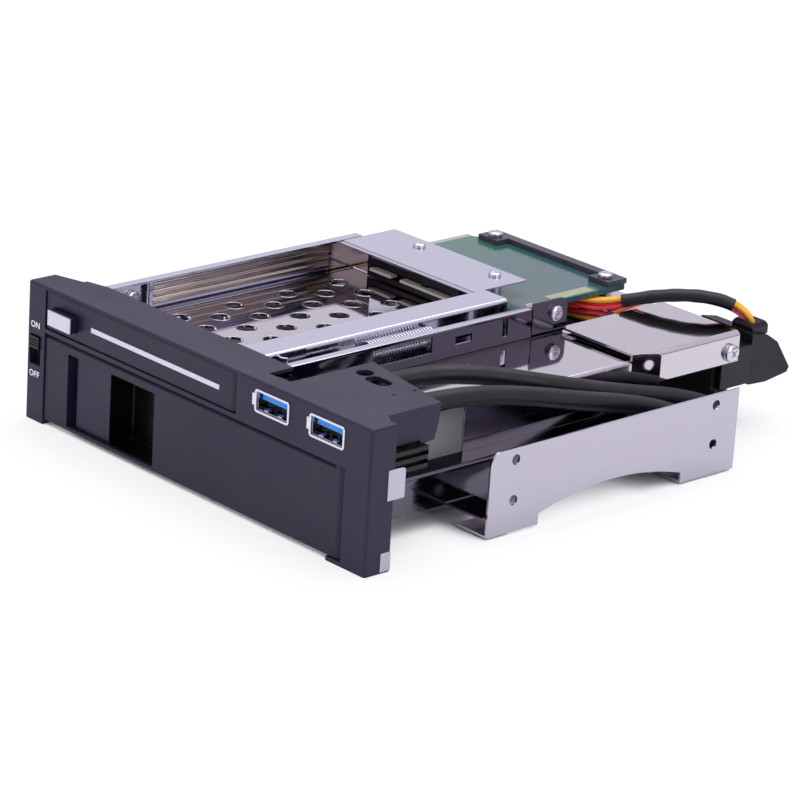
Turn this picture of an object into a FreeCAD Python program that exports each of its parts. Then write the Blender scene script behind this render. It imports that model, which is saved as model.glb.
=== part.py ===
"""Hot swap drive cage for one 5.25-inch bay: a 3.5-inch bay below a 2.5-inch bay.

Millimetres. X runs to the right of the bezel, Y towards the rear and Z up. Positions in this
file count from the bottom middle of the bezel's front face. Each sub-part's Placement moves
it forward by datum_y, so the document's origin is the middle of the base.
"""
import FreeCAD, Part
import math
import os
import Sketcher

SIZES = [
    # overall
    ("datum_y", 84.3, "bezel's front face to the origin"),
    ("body_width", 146.0, "over the side brackets, the width of the bay"),
    ("sheet", 0.7, "steel sheet of the cage, brackets and bay walls"),
    ("bend", 1.2, "outside radius of the visible bends"),
    ("part_gap", 0.3, "gap between a moving cover and its opening"),
    ("fit_gap", 0.05, "running clearance of pins and seated pieces"),
    # bezel
    ("bezel_width", 148.0, "bezel, side to side"),
    ("bezel_height", 41.8, "bezel, bottom to top"),
    ("bezel_plate", 6.0, "depth of the bezel's front plate"),
    ("bezel_skirt", 2.4, "wall of the bezel's sides"),
    ("bezel_side_depth", 8.8, "depth of the bezel's side walls"),
    ("bezel_round", 0.8, "radius of the bezel's front edges"),
    ("roof_wall", 1.0, "thickness of the bezel's roof"),
    ("roof_depth", 14.8, "depth of the roof over the upper bay"),
    ("roof_end_depth", 11.8, "depth of the roof beside the upper bay"),
    ("roof_step_x", 63.5, "step in the roof's rear edge, left of the middle"),
    ("left_stile", 8.1, "width of the bezel left of both door openings"),
    ("lower_opening_right", 64.2, "right edge of the lower opening"),
    ("lower_opening_top", 27.9, "top edge of the lower opening"),
    ("upper_opening_right", 19.2, "right edge of the upper opening"),
    ("upper_opening_bottom", 29.2, "bottom edge of the upper opening"),
    ("hinge_ear", 1.2, "height of the ear under the lower door's barrel"),
    # doors
    ("door_setback", 0.4, "door faces behind the bezel's front face"),
    ("door_wall", 3.4, "thickness of the doors"),
    ("lower_barrel", 2.6, "radius of the lower door's hinge barrel"),
    ("upper_barrel", 2.4, "radius of the upper door's hinge barrel"),
    ("hinge_pin", 0.9, "radius of the hinge pins"),
    ("pin_bite", 0.7, "depth of a hinge pin in each rail"),
    ("lower_door_lift", 1.5, "underside of the lower door over the base"),
    ("door_bevel", 1.1, "bevel along the lower door's top edge"),
    # latch of the lower door
    ("recess_left", 55.2, "left edge of the latch recess, left of the middle"),
    ("recess_right", 16.0, "right edge of the latch recess, left of the middle"),
    ("recess_bottom", 2.5, "bottom of the latch recess"),
    ("recess_top", 24.5, "top of the latch recess"),
    ("recess_wall", 1.0, "wall of the cup behind the finger recess"),
    ("cup_depth", 10.6, "back of the cup behind the bezel's front face"),
    ("latch_width", 15.5, "latch plate, pin to free edge"),
    ("latch_x", 52.2, "latch pin, left of the middle"),
    ("latch_wall", 1.8, "thickness of the latch plate"),
    ("latch_setback", 1.9, "latch plate behind the bezel's front face"),
    ("latch_knuckle", 1.5, "radius of the latch's knuckle"),
    ("latch_pin", 0.7, "radius of the latch's pin"),
    ("latch_arm_wall", 1.6, "thickness of the latch's arm"),
    ("rim_depth", 2.4, "rim behind the recess"),
    ("latch_bite", 0.7, "depth of the latch pin in the rim"),
    ("latch_nose_z", 9.0, "underside of the latch's nose"),
    ("latch_nose_height", 7.0, "height of the latch's nose"),
    # eject button and trim
    ("button_width", 10.3, "eject button, side to side"),
    ("button_height", 4.5, "eject button, bottom to top"),
    ("button_x", 56.8, "middle of the button, left of the middle"),
    ("button_z", 34.2, "middle of the button"),
    ("button_proud", 2.4, "button in front of the bezel"),
    ("button_cap", 0.5, "thickness of the button's face plate"),
    ("button_travel", 1.8, "travel of the button"),
    ("trim_left", 45.0, "left end of the trim strip, left of the middle"),
    ("trim_right", 11.5, "right end of the trim strip"),
    ("trim_height", 1.5, "height of the trim strip"),
    ("trim_z", 34.7, "middle of the trim strip"),
    ("trim_depth", 0.8, "depth of the trim strip's groove"),
    ("trim_proud", 0.25, "trim strip in front of the door"),
    # power switch and light pipes
    ("switch_inset", 3.8, "middle of the switch and light pipes, in from the bezel's left edge"),
    ("switch_width", 5.0, "width of the switch's slot"),
    ("switch_low", 17.0, "bottom of the switch's slot"),
    ("switch_high", 26.0, "top of the switch's slot"),
    ("knob_height", 3.6, "height of the switch's knob"),
    ("knob_proud", 0.6, "knob in front of the bezel"),
    ("switch_depth", 7.0, "depth of the switch's body"),
    ("pipe_radius", 0.65, "radius of a light pipe"),
    ("pipe_high", 34.7, "upper light pipe's height"),
    ("pipe_low", 10.1, "lower light pipe's height"),
    # USB ports
    ("port_x", 34.0, "middle of the left port"),
    ("port_pitch", 22.4, "left port to right port"),
    ("port_z", 36.0, "middle of the ports"),
    ("port_width", 13.2, "width of a port's shell"),
    ("port_height", 5.7, "height of a port's shell"),
    ("port_wall", 0.4, "sheet of a port's shell"),
    ("port_depth", 17.0, "length of a port's shell"),
    ("tongue_width", 11.1, "width of a port's tongue"),
    ("tongue_height", 1.9, "height of a port's tongue"),
    ("tongue_drop", 0.3, "tongue below the shell's roof"),
    ("board_wall", 1.2, "thickness of the boards"),
    ("housing_left", 25.4, "left wall of the USB housing"),
    ("housing_right", 67.4, "right wall of the USB housing"),
    ("housing_back_left", 37.0, "rear edge of the USB housing, left"),
    ("housing_back_right", 30.6, "rear edge of the USB housing, right"),
    ("housing_top", 41.5, "top of the USB housing"),
    ("housing_wall", 1.2, "wall of the USB housing"),
    ("cable_radius", 2.8, "radius of a USB cable"),
    ("hank_height", 12.0, "height of the hank of the two cables"),
    ("hank_band", 5.8, "width of one run of the hank"),
    ("bulb_radius", 14.4, "outside of the hank's end loops"),
    ("bulb_left_x", -60.0, "middle of the hank's left loop"),
    ("bulb_left_y", 183.5, "the same, from the bezel"),
    ("bulb_right_x", 3.0, "middle of the hank's right loop"),
    ("bulb_right_y", 175.0, "the same, from the bezel"),
    ("plug_x", -91.0, "left end of the header plug"),
    ("plug_y", 165.4, "middle of the header plug, from the bezel"),
    ("header_plug_depth", 16.0, "header plug, end to end"),
    ("header_plug_width", 21.0, "header plug, side to side"),
    ("header_plug_height", 9.0, "header plug, top to bottom"),
    # 3.5-inch bay
    ("cage_mid", -1.0, "middle of the lower bay"),
    ("lower_bay_width", 102.2, "inside width of the lower bay"),
    ("plate_top", 31.0, "top of the cage's roof, the floor of the upper bay"),
    ("plate_front", 12.0, "front edge of the cage's roof"),
    ("plate_left", 63.5, "left edge of the cage's roof, left of the middle"),
    ("wall_front", 56.0, "front edge of the cage's side walls"),
    ("shelf_top", 16.7, "top of the rails' shelves"),
    ("tab_flare", 4.6, "how far a rail's front tab leans outwards"),
    ("tab_length", 7.0, "length of a rail's front tab, front to back"),
    ("tab_top", 24.0, "top of a rail's front tab"),
    ("hood_start", 121.5, "where the rear of the cage widens"),
    ("hood_wide", 131.0, "where it has widened"),
    ("hood_flare", 2.4, "how much it widens on each side"),
    ("cage_back", 164.0, "rear edge of the cage"),
    ("hood_raise", 1.8, "step up from the roof to the hood on the right"),
    ("hood_left", 21.5, "left edge of the raised hood"),
    ("hood_bend", 1.6, "outer bend of the hood's edge"),
    ("hood_skirt", 7.4, "height of the rear side walls"),
    ("flap_height", 11.6, "height of the slanted flaps"),
    ("vent_radius", 2.9, "radius of the floor's holes"),
    ("vent_pitch_x", 11.7, "holes in a row"),
    ("vent_pitch_y", 10.15, "row to row"),
    ("vent_x", 48.4, "first hole, left of the middle"),
    ("vent_y", 35.8, "first row"),
    ("vent_columns", 5, "holes in a row"),
    ("vent_rows", 7, "rows of holes"),
    # rails and brackets
    ("rail_reach", 7.2, "shelf of a guide rail, wall to outer face"),
    ("rail_face_low", 6.6, "bottom of a rail's outer face"),
    ("rail_front", 12.5, "front end of the rails"),
    ("rail_back", 146.0, "rear end of the rails"),
    ("lip_top", 1.5, "what the lower drive rests on"),
    ("guide_front", 46.0, "front end of the drive guides"),
    ("guide_leg", 4.6, "height of the drive guides' welded legs"),
    ("lip_width", 9.5, "reach of a rail's lip under the drive"),
    ("bracket_front", 45.5, "front edge of the side brackets"),
    ("bracket_back", 143.5, "rear edge of the side brackets"),
    ("bracket_low", 0.6, "underside of the brackets' feet"),
    ("bracket_top", 25.2, "top edge of the brackets"),
    ("bracket_round", 4.0, "top front corner of the brackets"),
    ("arch_front", 65.0, "front of the arch between the feet"),
    ("arch_back", 121.6, "rear of the arch"),
    ("arch_spring", 3.2, "height of the arch at its ends"),
    ("arch_top", 8.0, "height of the arch in the middle"),
    ("foot_reach", 11.4, "inward reach of the feet"),
    ("foot_length", 9.0, "length of the feet"),
    ("hole_front", 54.9, "front side holes from the bezel's front face"),
    ("hole_pitch_y", 79.25, "side holes, front to rear"),
    ("hole_low", 9.96, "lower side holes over the base"),
    ("hole_pitch_z", 11.84, "side holes, lower to upper"),
    ("hole_radius", 1.5, "side holes"),
    # 2.5-inch bay
    ("upper_bay_left", 58.7, "inside of the upper bay's left wall, left of the middle"),
    ("upper_bay_width", 70.6, "inside width of the upper bay"),
    ("bay_top", 41.3, "top of the upper bay's walls"),
    ("bay_front", 15.1, "front end of the upper bay's walls"),
    ("bay_back", 112.0, "rear end of the upper bay's left wall"),
    ("left_flange", 3.1, "flange on the left wall"),
    ("right_flange", 9.0, "flange on the right wall"),
    ("foot_flange", 3.6, "foot outside the left wall"),
    ("liner_wall", 0.3, "sheet of the liner"),
    ("liner_rib", 0.12, "ribs on the liner"),
    ("liner_rib_width", 0.9, "width of the liner's ribs"),
    ("liner_low", 32.7, "underside of the liner"),
    ("liner_height", 6.5, "height of the liner"),
    ("liner_front", 33.0, "front end of the liner"),
    ("liner_back", 101.0, "rear end of the liner"),
    # ejector
    ("channel_width", 6.7, "inside width of the ejector's channel"),
    ("channel_flange", 5.6, "flange on the channel's wall"),
    ("channel_front", 16.0, "front end of the channel's wall"),
    ("channel_back", 110.8, "rear end of the channel's wall"),
    ("window_front", 49.0, "front edge of the spring's window"),
    ("window_length", 22.5, "length of the spring's window"),
    ("window_low", 33.9, "bottom of the spring's window"),
    ("window_height", 6.0, "height of the spring's window"),
    ("slot_front", 77.5, "front edge of the second window"),
    ("slot_length", 7.2, "length of the second window"),
    ("slot_height", 3.6, "height of the second window"),
    ("spring_radius", 2.8, "outside radius of the spring"),
    ("spring_wire", 0.7, "spring wire, thickness"),
    ("spring_x", 15.9, "spring's axis"),
    ("spring_z", 36.6, "spring's axis"),
    ("spring_front", 49.5, "front end of the coils"),
    ("spring_pitch", 1.9, "coil to coil"),
    ("spring_turns", 13, "coils"),
    ("hook_y", 26.5, "spring's fixed hook"),
    ("slider_width", 5.0, "width of the slider"),
    ("slider_wall", 1.0, "thickness of the slider"),
    ("slider_step", 104.0, "where the slider narrows to its tail"),
    ("stud_radius", 0.7, "radius of the slider's stud"),
    ("slider_front", 9.2, "front end of the slider"),
    ("slider_back", 119.6, "rear end of the slider's tail"),
    ("slider_tail", 2.0, "width of the slider's tail"),
    ("slider_travel", 2.4, "travel of the slider"),
    ("lug_front", 77.0, "spring's lug on the slider"),
    ("lever_x", 17.0, "ejector lever's pin"),
    ("lever_y", 113.6, "ejector lever's pin"),
    ("lever_boss", 2.0, "radius of the lever's boss"),
    ("lever_pin", 1.0, "radius of the lever's pin"),
    ("lever_arm", 14.0, "reach of the lever's long arm"),
    ("lever_width", 2.6, "width of the lever's arms"),
    ("lever_wall", 1.2, "thickness of the lever"),
    ("lever_height", 6.2, "height of the lever's barrel"),
    ("lever_bracket_back", 125.0, "rear edge of the lever's bracket"),
    # upper board
    ("upper_board_left", 49.0, "left edge of the upper board, left of the middle"),
    ("upper_board_right", 11.0, "right edge of the upper board"),
    ("upper_board_front", 112.0, "front edge of the upper board"),
    ("upper_board_back", 158.0, "rear edge of the upper board"),
    ("upper_board_low", 34.8, "underside of the upper board"),
    ("thick_board", 1.6, "thickness of the upper and lower boards"),
    ("corner_cut", 7.0, "cut corner of the upper board"),
    ("cover_front", 102.4, "front edge of the upper bay's cover"),
    ("cover_back", 125.0, "rear edge of the upper bay's cover"),
    ("cover_screw_left", 38.5, "left cover screw, left of the middle"),
    ("cover_screw_right", 5.6, "right cover screw, left of the middle"),
    ("cover_screw_y", 119.7, "cover screws"),
    ("screw_head", 1.9, "radius of a cover screw's head"),
    ("screw_shank", 1.2, "radius of a cover screw's shank"),
    ("spacer_radius", 2.4, "radius of the boards' spacers"),
    ("upper_socket_left", 49.4, "left end of the upper socket, left of the middle"),
    ("socket_width", 41.8, "width of a drive socket"),
    ("socket_front", 108.2, "mating face of the upper socket"),
    ("socket_low", 31.5, "underside of the upper socket"),
    ("socket_height", 5.9, "height of a drive socket"),
    ("data_slot", 10.6, "width of the data slot"),
    ("power_slot", 21.0, "width of the power slot"),
    ("slot_gap", 2.4, "wall between the two slots"),
    ("slot_opening", 2.4, "height of the slots"),
    ("slot_depth", 3.4, "depth of the slots"),
    ("strip_wall", 1.6, "thickness of the clamp strip"),
    ("strip_screw_left", 41.2, "left strip screw, left of the middle"),
    ("strip_screw_right", 6.4, "right strip screw"),
    ("strip_screw_y", 154.2, "strip screws"),
    ("dome_radius", 2.2, "radius of the strip screws' heads"),
    ("header_left", -6.0, "left side of the lead's header"),
    ("header_width", 9.0, "width of the lead's header"),
    ("header_front", 136.0, "front of the lead's header"),
    ("header_length", 12.0, "length of the lead's header"),
    # lower board
    ("lower_board_front", 157.0, "front face of the lower board"),
    ("lower_board_low", 3.4, "bottom edge of the lower board"),
    ("lower_socket_left", 44.0, "left end of the lower socket, left of the middle"),
    ("lower_socket_z", 4.0, "underside of the lower socket"),
    ("lower_socket_depth", 6.4, "depth of the lower socket"),
    ("inlet_left", 31.0, "left side of the power inlet"),
    ("inlet_width", 21.0, "width of the power inlet"),
    ("inlet_low", 15.0, "underside of the power inlet"),
    ("inlet_height", 12.0, "height of the power inlet"),
    ("inlet_depth", 12.4, "depth of the power inlet"),
    ("plug_depth", 17.5, "power plug behind the inlet"),
    ("plug_nose", 7.0, "power plug inside the inlet"),
    ("sleeve_radius", 1.7, "radius of the power lead's sleeve"),
    ("lead_clearance", 0.3, "free pieces from what they pass"),
]


class Size:
    """A length together with the spreadsheet expression that gives it."""

    def __init__(self, value, text):
        self.value = float(value)
        self.text = text

    def __add__(self, other):
        return joined(self, "+", other)

    def __radd__(self, other):
        return joined(other, "+", self)

    def __sub__(self, other):
        return joined(self, "-", other)

    def __rsub__(self, other):
        return joined(other, "-", self)

    def __mul__(self, other):
        return joined(self, "*", other)

    def __rmul__(self, other):
        return joined(other, "*", self)

    def __truediv__(self, other):
        return joined(self, "/", other)

    def __neg__(self):
        return joined(0, "-", self)


def as_size(number):
    if isinstance(number, Size):
        return number
    return Size(number, "%.6g" % number if number >= 0 else "(%.6g)" % number)


def joined(first, sign, second):
    first, second = as_size(first), as_size(second)
    values = {
        "+": first.value + second.value,
        "-": first.value - second.value,
        "*": first.value * second.value,
        "/": first.value / second.value if sign == "/" else 0.0,
    }
    return Size(values[sign], "(%s %s %s)" % (first.text, sign, second.text))


class Names:
    """The spreadsheet's sizes, one attribute each."""


doc = FreeCAD.newDocument("hot_swap_drive_cage")
sheet = doc.addObject("Spreadsheet::Sheet", "Sizes")
S = Names()
for row, (alias, number, meaning) in enumerate(SIZES, start=1):
    sheet.set("A%d" % row, alias)
    sheet.set("B%d" % row, str(number))
    sheet.setAlias("B%d" % row, alias)
    sheet.set("C%d" % row, meaning)
    setattr(S, alias, Size(number, "Sizes.%s" % alias))
doc.recompute()

FINISHED = []


def bind(target, path, amount):
    """Tie one property of an object to its expression."""
    target.setExpression(path, as_size(amount).text)


def finish(target, label, x=0, y=0, z=0):
    """Name a sub-part and move it from the bezel's face to the origin."""
    target.Label = label
    bind(target, "Placement.Base.x", x)
    bind(target, "Placement.Base.y", y - S.datum_y)
    bind(target, "Placement.Base.z", z)
    FINISHED.append(target)
    return target


# ---------------------------------------------------------------- outlines
class Ring:
    """A circle in a sketch."""

    def __init__(self, u, v, radius):
        self.u, self.v, self.radius = as_size(u), as_size(v), as_size(radius)


class Bow:
    """Put between two corners: an arc from one to the other through this point."""

    def __init__(self, u, v):
        self.u, self.v = as_size(u), as_size(v)


def rect(u0, u1, v0, v1):
    return [(u0, v0), (u1, v0), (u1, v1), (u0, v1)]


def fold(corners, wall):
    """Outline of a folded sheet: its face runs through the corners, its wall to the right."""
    flat = [(as_size(u), as_size(v)) for u, v in corners]
    normals = []
    for (u0, v0), (u1, v1) in zip(flat, flat[1:]):
        du, dv = u1.value - u0.value, v1.value - v0.value
        normals.append((math.copysign(1, dv) if abs(dv) > abs(du) else 0,
                        -math.copysign(1, du) if abs(du) >= abs(dv) else 0))
    inner = []
    for place, (u, v) in enumerate(flat):
        before = normals[max(place - 1, 0)]
        after = normals[min(place, len(normals) - 1)]
        step = set([before, after])
        inner.append((u + wall * sum(n[0] for n in step), v + wall * sum(n[1] for n in step)))
    return flat + inner[::-1], flat[1:-1], inner[1:-1]


def pin_point(drawing, geometry, corner, u, v):
    """Tie a sketch point to its two coordinates."""
    for kind, axis, amount in (("DistanceX", -2, u), ("DistanceY", -1, v)):
        amount = as_size(amount)
        if abs(amount.value) < 1e-9:
            drawing.addConstraint(Sketcher.Constraint("PointOnObject", geometry, corner, axis))
            continue
        place = drawing.addConstraint(
            Sketcher.Constraint(kind, -1, 1, geometry, corner, amount.value))
        bind(drawing, "Constraints[%d]" % place, amount)


def draw_ring(drawing, ring):
    centre = FreeCAD.Vector(ring.u.value, ring.v.value, 0)
    circle = Part.Circle(centre, FreeCAD.Vector(0, 0, 1), ring.radius.value)
    place = drawing.addGeometry(circle)
    pin_point(drawing, place, 3, ring.u, ring.v)
    tie = drawing.addConstraint(Sketcher.Constraint("Radius", place, ring.radius.value))
    bind(drawing, "Constraints[%d]" % tie, ring.radius)


def draw_loop(drawing, loop):
    corners, bows = [], {}
    for item in loop:
        if isinstance(item, Bow):
            bows[len(corners) - 1] = item
        else:
            corners.append((as_size(item[0]), as_size(item[1])))
    points = [FreeCAD.Vector(u.value, v.value, 0) for u, v in corners]
    edges = []
    for place, start in enumerate(points):
        end = points[(place + 1) % len(points)]
        if place in bows:
            bow = bows[place]
            middle = FreeCAD.Vector(bow.u.value, bow.v.value, 0)
            turn = (middle - start).cross(end - middle).z
            if turn > 0:
                edge = drawing.addGeometry(Part.Arc(start, middle, end))
                edges.append((edge, 1, 2))
            else:
                edge = drawing.addGeometry(Part.Arc(end, middle, start))
                edges.append((edge, 2, 1))
            mark = drawing.addGeometry(Part.Point(middle), True)
            pin_point(drawing, mark, 1, bow.u, bow.v)
            drawing.addConstraint(Sketcher.Constraint("PointOnObject", mark, 1, edge))
        else:
            edges.append((drawing.addGeometry(Part.LineSegment(start, end)), 1, 2))
    for place, (edge, first, last) in enumerate(edges):
        following, first_of_next, _ = edges[(place + 1) % len(edges)]
        drawing.addConstraint(
            Sketcher.Constraint("Coincident", edge, last, following, first_of_next))
        pin_point(drawing, edge, first, corners[place][0], corners[place][1])


class Piece:
    """A sub-part built as a PartDesign body, feature by feature."""

    def __init__(self, name):
        self.body = doc.addObject("PartDesign::Body", name)
        self.name = name
        self.steps = 0

    def plane(self, role):
        for feature in self.body.Origin.OriginFeatures:
            if feature.Role == role + "_Plane":
                return feature
        raise RuntimeError("no plane " + role)

    def sketch(self, role, height, shapes):
        self.steps += 1
        drawing = self.body.newObject(
            "Sketcher::SketchObject", "%s_sketch_%d" % (self.name, self.steps))
        drawing.AttachmentSupport = [(self.plane(role), "")]
        drawing.MapMode = "FlatFace"
        height = as_size(height)
        bind(drawing, "AttachmentOffset.Base.z", -height if role == "XZ" else height)
        for shape in shapes:
            if isinstance(shape, Ring):
                draw_ring(drawing, shape)
            else:
                draw_loop(drawing, shape)
        return drawing

    def pad(self, role, low, high, *shapes):
        """Add material between two heights on the plane's axis."""
        low, high = as_size(low), as_size(high)
        drawing = self.sketch(role, high if role == "XZ" else low, shapes)
        feature = self.body.newObject("PartDesign::Pad", "%s_pad_%d" % (self.name, self.steps))
        feature.Profile = drawing
        feature.Length = high.value - low.value
        bind(feature, "Length", high - low)
        return feature

    def cut(self, role, low, high, *shapes):
        """Take material away between two heights, and check that it went."""
        doc.recompute()
        before = self.body.Shape.Volume
        low, high = as_size(low), as_size(high)
        drawing = self.sketch(role, low if role == "XZ" else high, shapes)
        feature = self.body.newObject(
            "PartDesign::Pocket", "%s_pocket_%d" % (self.name, self.steps))
        feature.Profile = drawing
        feature.Type = "Length"
        feature.Length = high.value - low.value
        bind(feature, "Length", high - low)
        doc.recompute()
        if not self.body.Shape.Volume < before - 1e-4:
            raise RuntimeError("%s: %s cuts nothing" % (self.name, feature.Name))
        return feature

    def soften(self, kind, amount, along, spots):
        """Fillet or chamfer the straight edges along an axis that pass through the spots."""
        doc.recompute()
        names = []
        rest = [place for place in range(3) if place != "XYZ".index(along)]
        spots = [tuple(as_size(value).value for value in spot) for spot in spots]
        for number, edge in enumerate(self.body.Shape.Edges, start=1):
            if not isinstance(edge.Curve, (Part.Line, Part.LineSegment)):
                continue
            ends = [vertex.Point for vertex in edge.Vertexes]
            span = ends[1] - ends[0]
            if any(abs(span[place]) > 1e-5 for place in rest):
                continue
            for spot in spots:
                if all(abs(ends[0][place] - value) < 1e-4 for place, value in zip(rest, spot)):
                    names.append("Edge%d" % number)
                    break
        if not names:
            raise RuntimeError("%s: no edge to soften" % self.name)
        self.steps += 1
        under = self.body.Tip
        feature = self.body.newObject(
            "PartDesign::" + kind, "%s_%s_%d" % (self.name, kind.lower(), self.steps))
        feature.Base = (under, names)
        prop = "Radius" if kind == "Fillet" else "Size"
        setattr(feature, prop, as_size(amount).value)
        bind(feature, prop, amount)
        doc.recompute()
        return feature

    def folded(self, role, low, high, corners, wall):
        """Add a folded sheet and round its bends inside and outside."""
        outline, one_side, other_side = fold(corners, wall)
        self.pad(role, low, high, outline)
        along = {"XY": "Z", "XZ": "Y", "YZ": "X"}[role]
        outside, inside = [], []
        flat = [(as_size(u).value, as_size(v).value) for u, v in corners]
        for place in range(1, len(flat) - 1):
            into = [b - a for a, b in zip(flat[place - 1], flat[place])]
            out = [b - a for a, b in zip(flat[place], flat[place + 1])]
            right_turn = into[0] * out[1] - into[1] * out[0] < 0
            outside.append((one_side if right_turn else other_side)[place - 1])
            inside.append((other_side if right_turn else one_side)[place - 1])
        self.soften("Fillet", S.bend, along, outside)
        self.soften("Fillet", S.bend - S.sheet, along, inside)

    def done(self, x=0, y=0, z=0):
        return finish(self.body, self.name, x, y, z)


def cylinder(name, radius, length, along, x, y, z):
    """A round pin whose start is at x, y, z and which runs along X, Y or Z."""
    rod = doc.addObject("Part::Cylinder", name)
    rod.Radius = as_size(radius).value
    rod.Height = as_size(length).value
    bind(rod, "Radius", radius)
    bind(rod, "Height", length)
    turn = {"X": (0, 1, 0, 90), "Y": (1, 0, 0, -90), "Z": (0, 0, 1, 0)}[along]
    rod.Placement.Rotation = FreeCAD.Rotation(FreeCAD.Vector(*turn[:3]), turn[3])
    bind(rod, "Placement.Base.x", x)
    bind(rod, "Placement.Base.y", y)
    bind(rod, "Placement.Base.z", z)
    return rod


def pin(name, radius, length, along, x, y, z):
    return finish(cylinder(name, radius, length, along, x, y, z), name, x, y, z)


def fused(name, pieces):
    whole = doc.addObject("Part::MultiFuse", name)
    whole.Shapes = pieces
    return finish(whole, name)


def screw(name, head, head_height, shank, shank_length, x, y, top):
    """A screw that points down, its head's underside at the height top."""
    cap = cylinder(name + "_cap", head, head_height, "Z", x, y, top)
    stem = cylinder(name + "_stem", shank, shank_length, "Z", x, y, top - shank_length)
    return fused(name, [cap, stem])


# ---------------------------------------------------------------- shared positions
half_bezel = S.bezel_width / 2
opening_left = half_bezel - S.left_stile
switch_x = half_bezel - S.switch_inset
lower_axis_x = S.lower_opening_right - S.part_gap - S.lower_barrel
lower_axis_y = S.door_setback + S.lower_barrel
upper_axis_x = S.upper_opening_right - S.part_gap - S.upper_barrel
upper_axis_y = S.door_setback + S.upper_barrel
upper_opening_top = S.bezel_height - S.roof_wall
door_left = -opening_left + S.part_gap
door_back = S.door_setback + S.door_wall
lower_door_top = S.lower_opening_top - S.part_gap
upper_door_low = S.upper_opening_bottom + S.part_gap
upper_door_top = upper_opening_top - S.part_gap
port_right_x = S.port_x + S.port_pitch
bracket_face = S.body_width / 2
cage_right = S.cage_mid + S.lower_bay_width / 2 + S.sheet
cage_left = S.cage_mid - S.lower_bay_width / 2 - S.sheet
plate_low = S.plate_top - S.sheet
bay_left = -S.upper_bay_left
bay_right = bay_left + S.upper_bay_width
channel_right = bay_right + S.sheet + S.channel_width
hood_right = cage_right + S.hood_flare
hood_left = cage_left - S.hood_flare
upper_board_top = S.upper_board_low + S.thick_board
lower_board_back = S.lower_board_front + S.thick_board


# ---------------------------------------------------------------- bezel
def bezel_frame():
    """Moulded front: two door openings, port openings, switch slot, roof and side walls."""
    piece = Piece("bezel_frame")
    ear_left = lower_axis_x - S.lower_barrel - S.part_gap
    face = [
        (-half_bezel, 0), (-opening_left, 0), (-opening_left, S.lower_opening_top),
        (S.lower_opening_right, S.lower_opening_top), (S.lower_opening_right, S.hinge_ear),
        (ear_left, S.hinge_ear), (ear_left, 0), (half_bezel, 0),
        (half_bezel, S.bezel_height), (-half_bezel, S.bezel_height),
    ]
    window = rect(-opening_left, S.upper_opening_right, S.upper_opening_bottom,
                  upper_opening_top)
    piece.pad("XZ", 0, S.bezel_plate, face, window)
    roof_right = S.housing_left - S.part_gap
    roof = [
        (-half_bezel, S.bezel_plate), (roof_right, S.bezel_plate), (roof_right, S.roof_depth),
        (-S.roof_step_x + 7.5, S.roof_depth), (-S.roof_step_x, S.roof_depth - 1.8),
        (-S.roof_step_x, S.roof_end_depth), (-half_bezel, S.bezel_side_depth),
    ]
    piece.pad("XY", upper_opening_top, S.bezel_height, roof)
    for near, far in ((-half_bezel, -half_bezel + S.bezel_skirt),
                      (half_bezel - S.bezel_skirt, half_bezel)):
        piece.pad("YZ", near, far, rect(S.bezel_plate, S.bezel_side_depth, 0, S.bezel_height))
    piece.soften("Fillet", S.bezel_round, "Z", [(-half_bezel, 0), (half_bezel, 0)])
    piece.soften("Fillet", S.bezel_round, "X", [(0, S.bezel_height)])
    ports = []
    for middle in (S.port_x, port_right_x):
        wide = S.port_width / 2 + S.part_gap
        tall = S.port_height / 2 + S.part_gap
        ports.append(rect(middle - wide, middle + wide, S.port_z - tall, S.port_z + tall))
    piece.cut("XZ", 0, S.bezel_plate, *ports)
    slot = rect(-switch_x - S.switch_width / 2, -switch_x + S.switch_width / 2,
                S.switch_low, S.switch_high)
    piece.cut("XZ", 0, S.bezel_side_depth, slot)
    bore = S.pipe_radius + S.fit_gap
    piece.cut("XZ", 0, S.bezel_plate, Ring(-switch_x, S.pipe_high, bore),
              Ring(-switch_x, S.pipe_low, bore))
    hold = S.hinge_pin + S.fit_gap
    bite = S.pin_bite + S.fit_gap
    piece.cut("XY", S.hinge_ear - bite, S.hinge_ear, Ring(lower_axis_x, lower_axis_y, hold))
    piece.cut("XY", S.lower_opening_top, S.lower_opening_top + bite,
              Ring(lower_axis_x, lower_axis_y, hold))
    piece.cut("XY", S.upper_opening_bottom - bite, S.upper_opening_bottom,
              Ring(upper_axis_x, upper_axis_y, hold))
    piece.cut("XY", upper_opening_top, upper_opening_top + bite,
              Ring(upper_axis_x, upper_axis_y, hold))
    piece.done()


def power_switch():
    """Slide switch behind its slot, with the groove that its knob runs in."""
    wide = S.switch_width / 2 - S.fit_gap
    low, high = S.switch_low + S.fit_gap, S.switch_high - S.fit_gap
    back = S.knob_proud + 1.4
    piece = Piece("power_switch")
    piece.pad("XZ", back, S.switch_depth + back,
              rect(-switch_x - wide, -switch_x + wide, low, high))
    piece.cut("XZ", back, back + 1.5, rect(-switch_x - 0.7, -switch_x + 0.7,
                                           low + 0.9, high - 0.9))
    piece.done()
    knob = Piece("power_switch_knob")
    side = wide - S.part_gap
    top = S.switch_high - S.part_gap
    knob_low = top - S.knob_height
    knob.pad("XZ", -S.knob_proud, back - S.part_gap,
             rect(-switch_x - side, -switch_x + side, knob_low, top))
    knob.pad("XZ", back - S.part_gap, back + 1.1,
             rect(-switch_x - 0.4, -switch_x + 0.4, knob_low + 1.1, top - 1.1))
    for share in (0.28, 0.5, 0.72):
        middle = knob_low + S.knob_height * share
        knob.cut("XZ", -S.knob_proud, -S.knob_proud + 0.3,
                 rect(-switch_x - side, -switch_x + side, middle - 0.2, middle + 0.2))
    knob.done()


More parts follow.
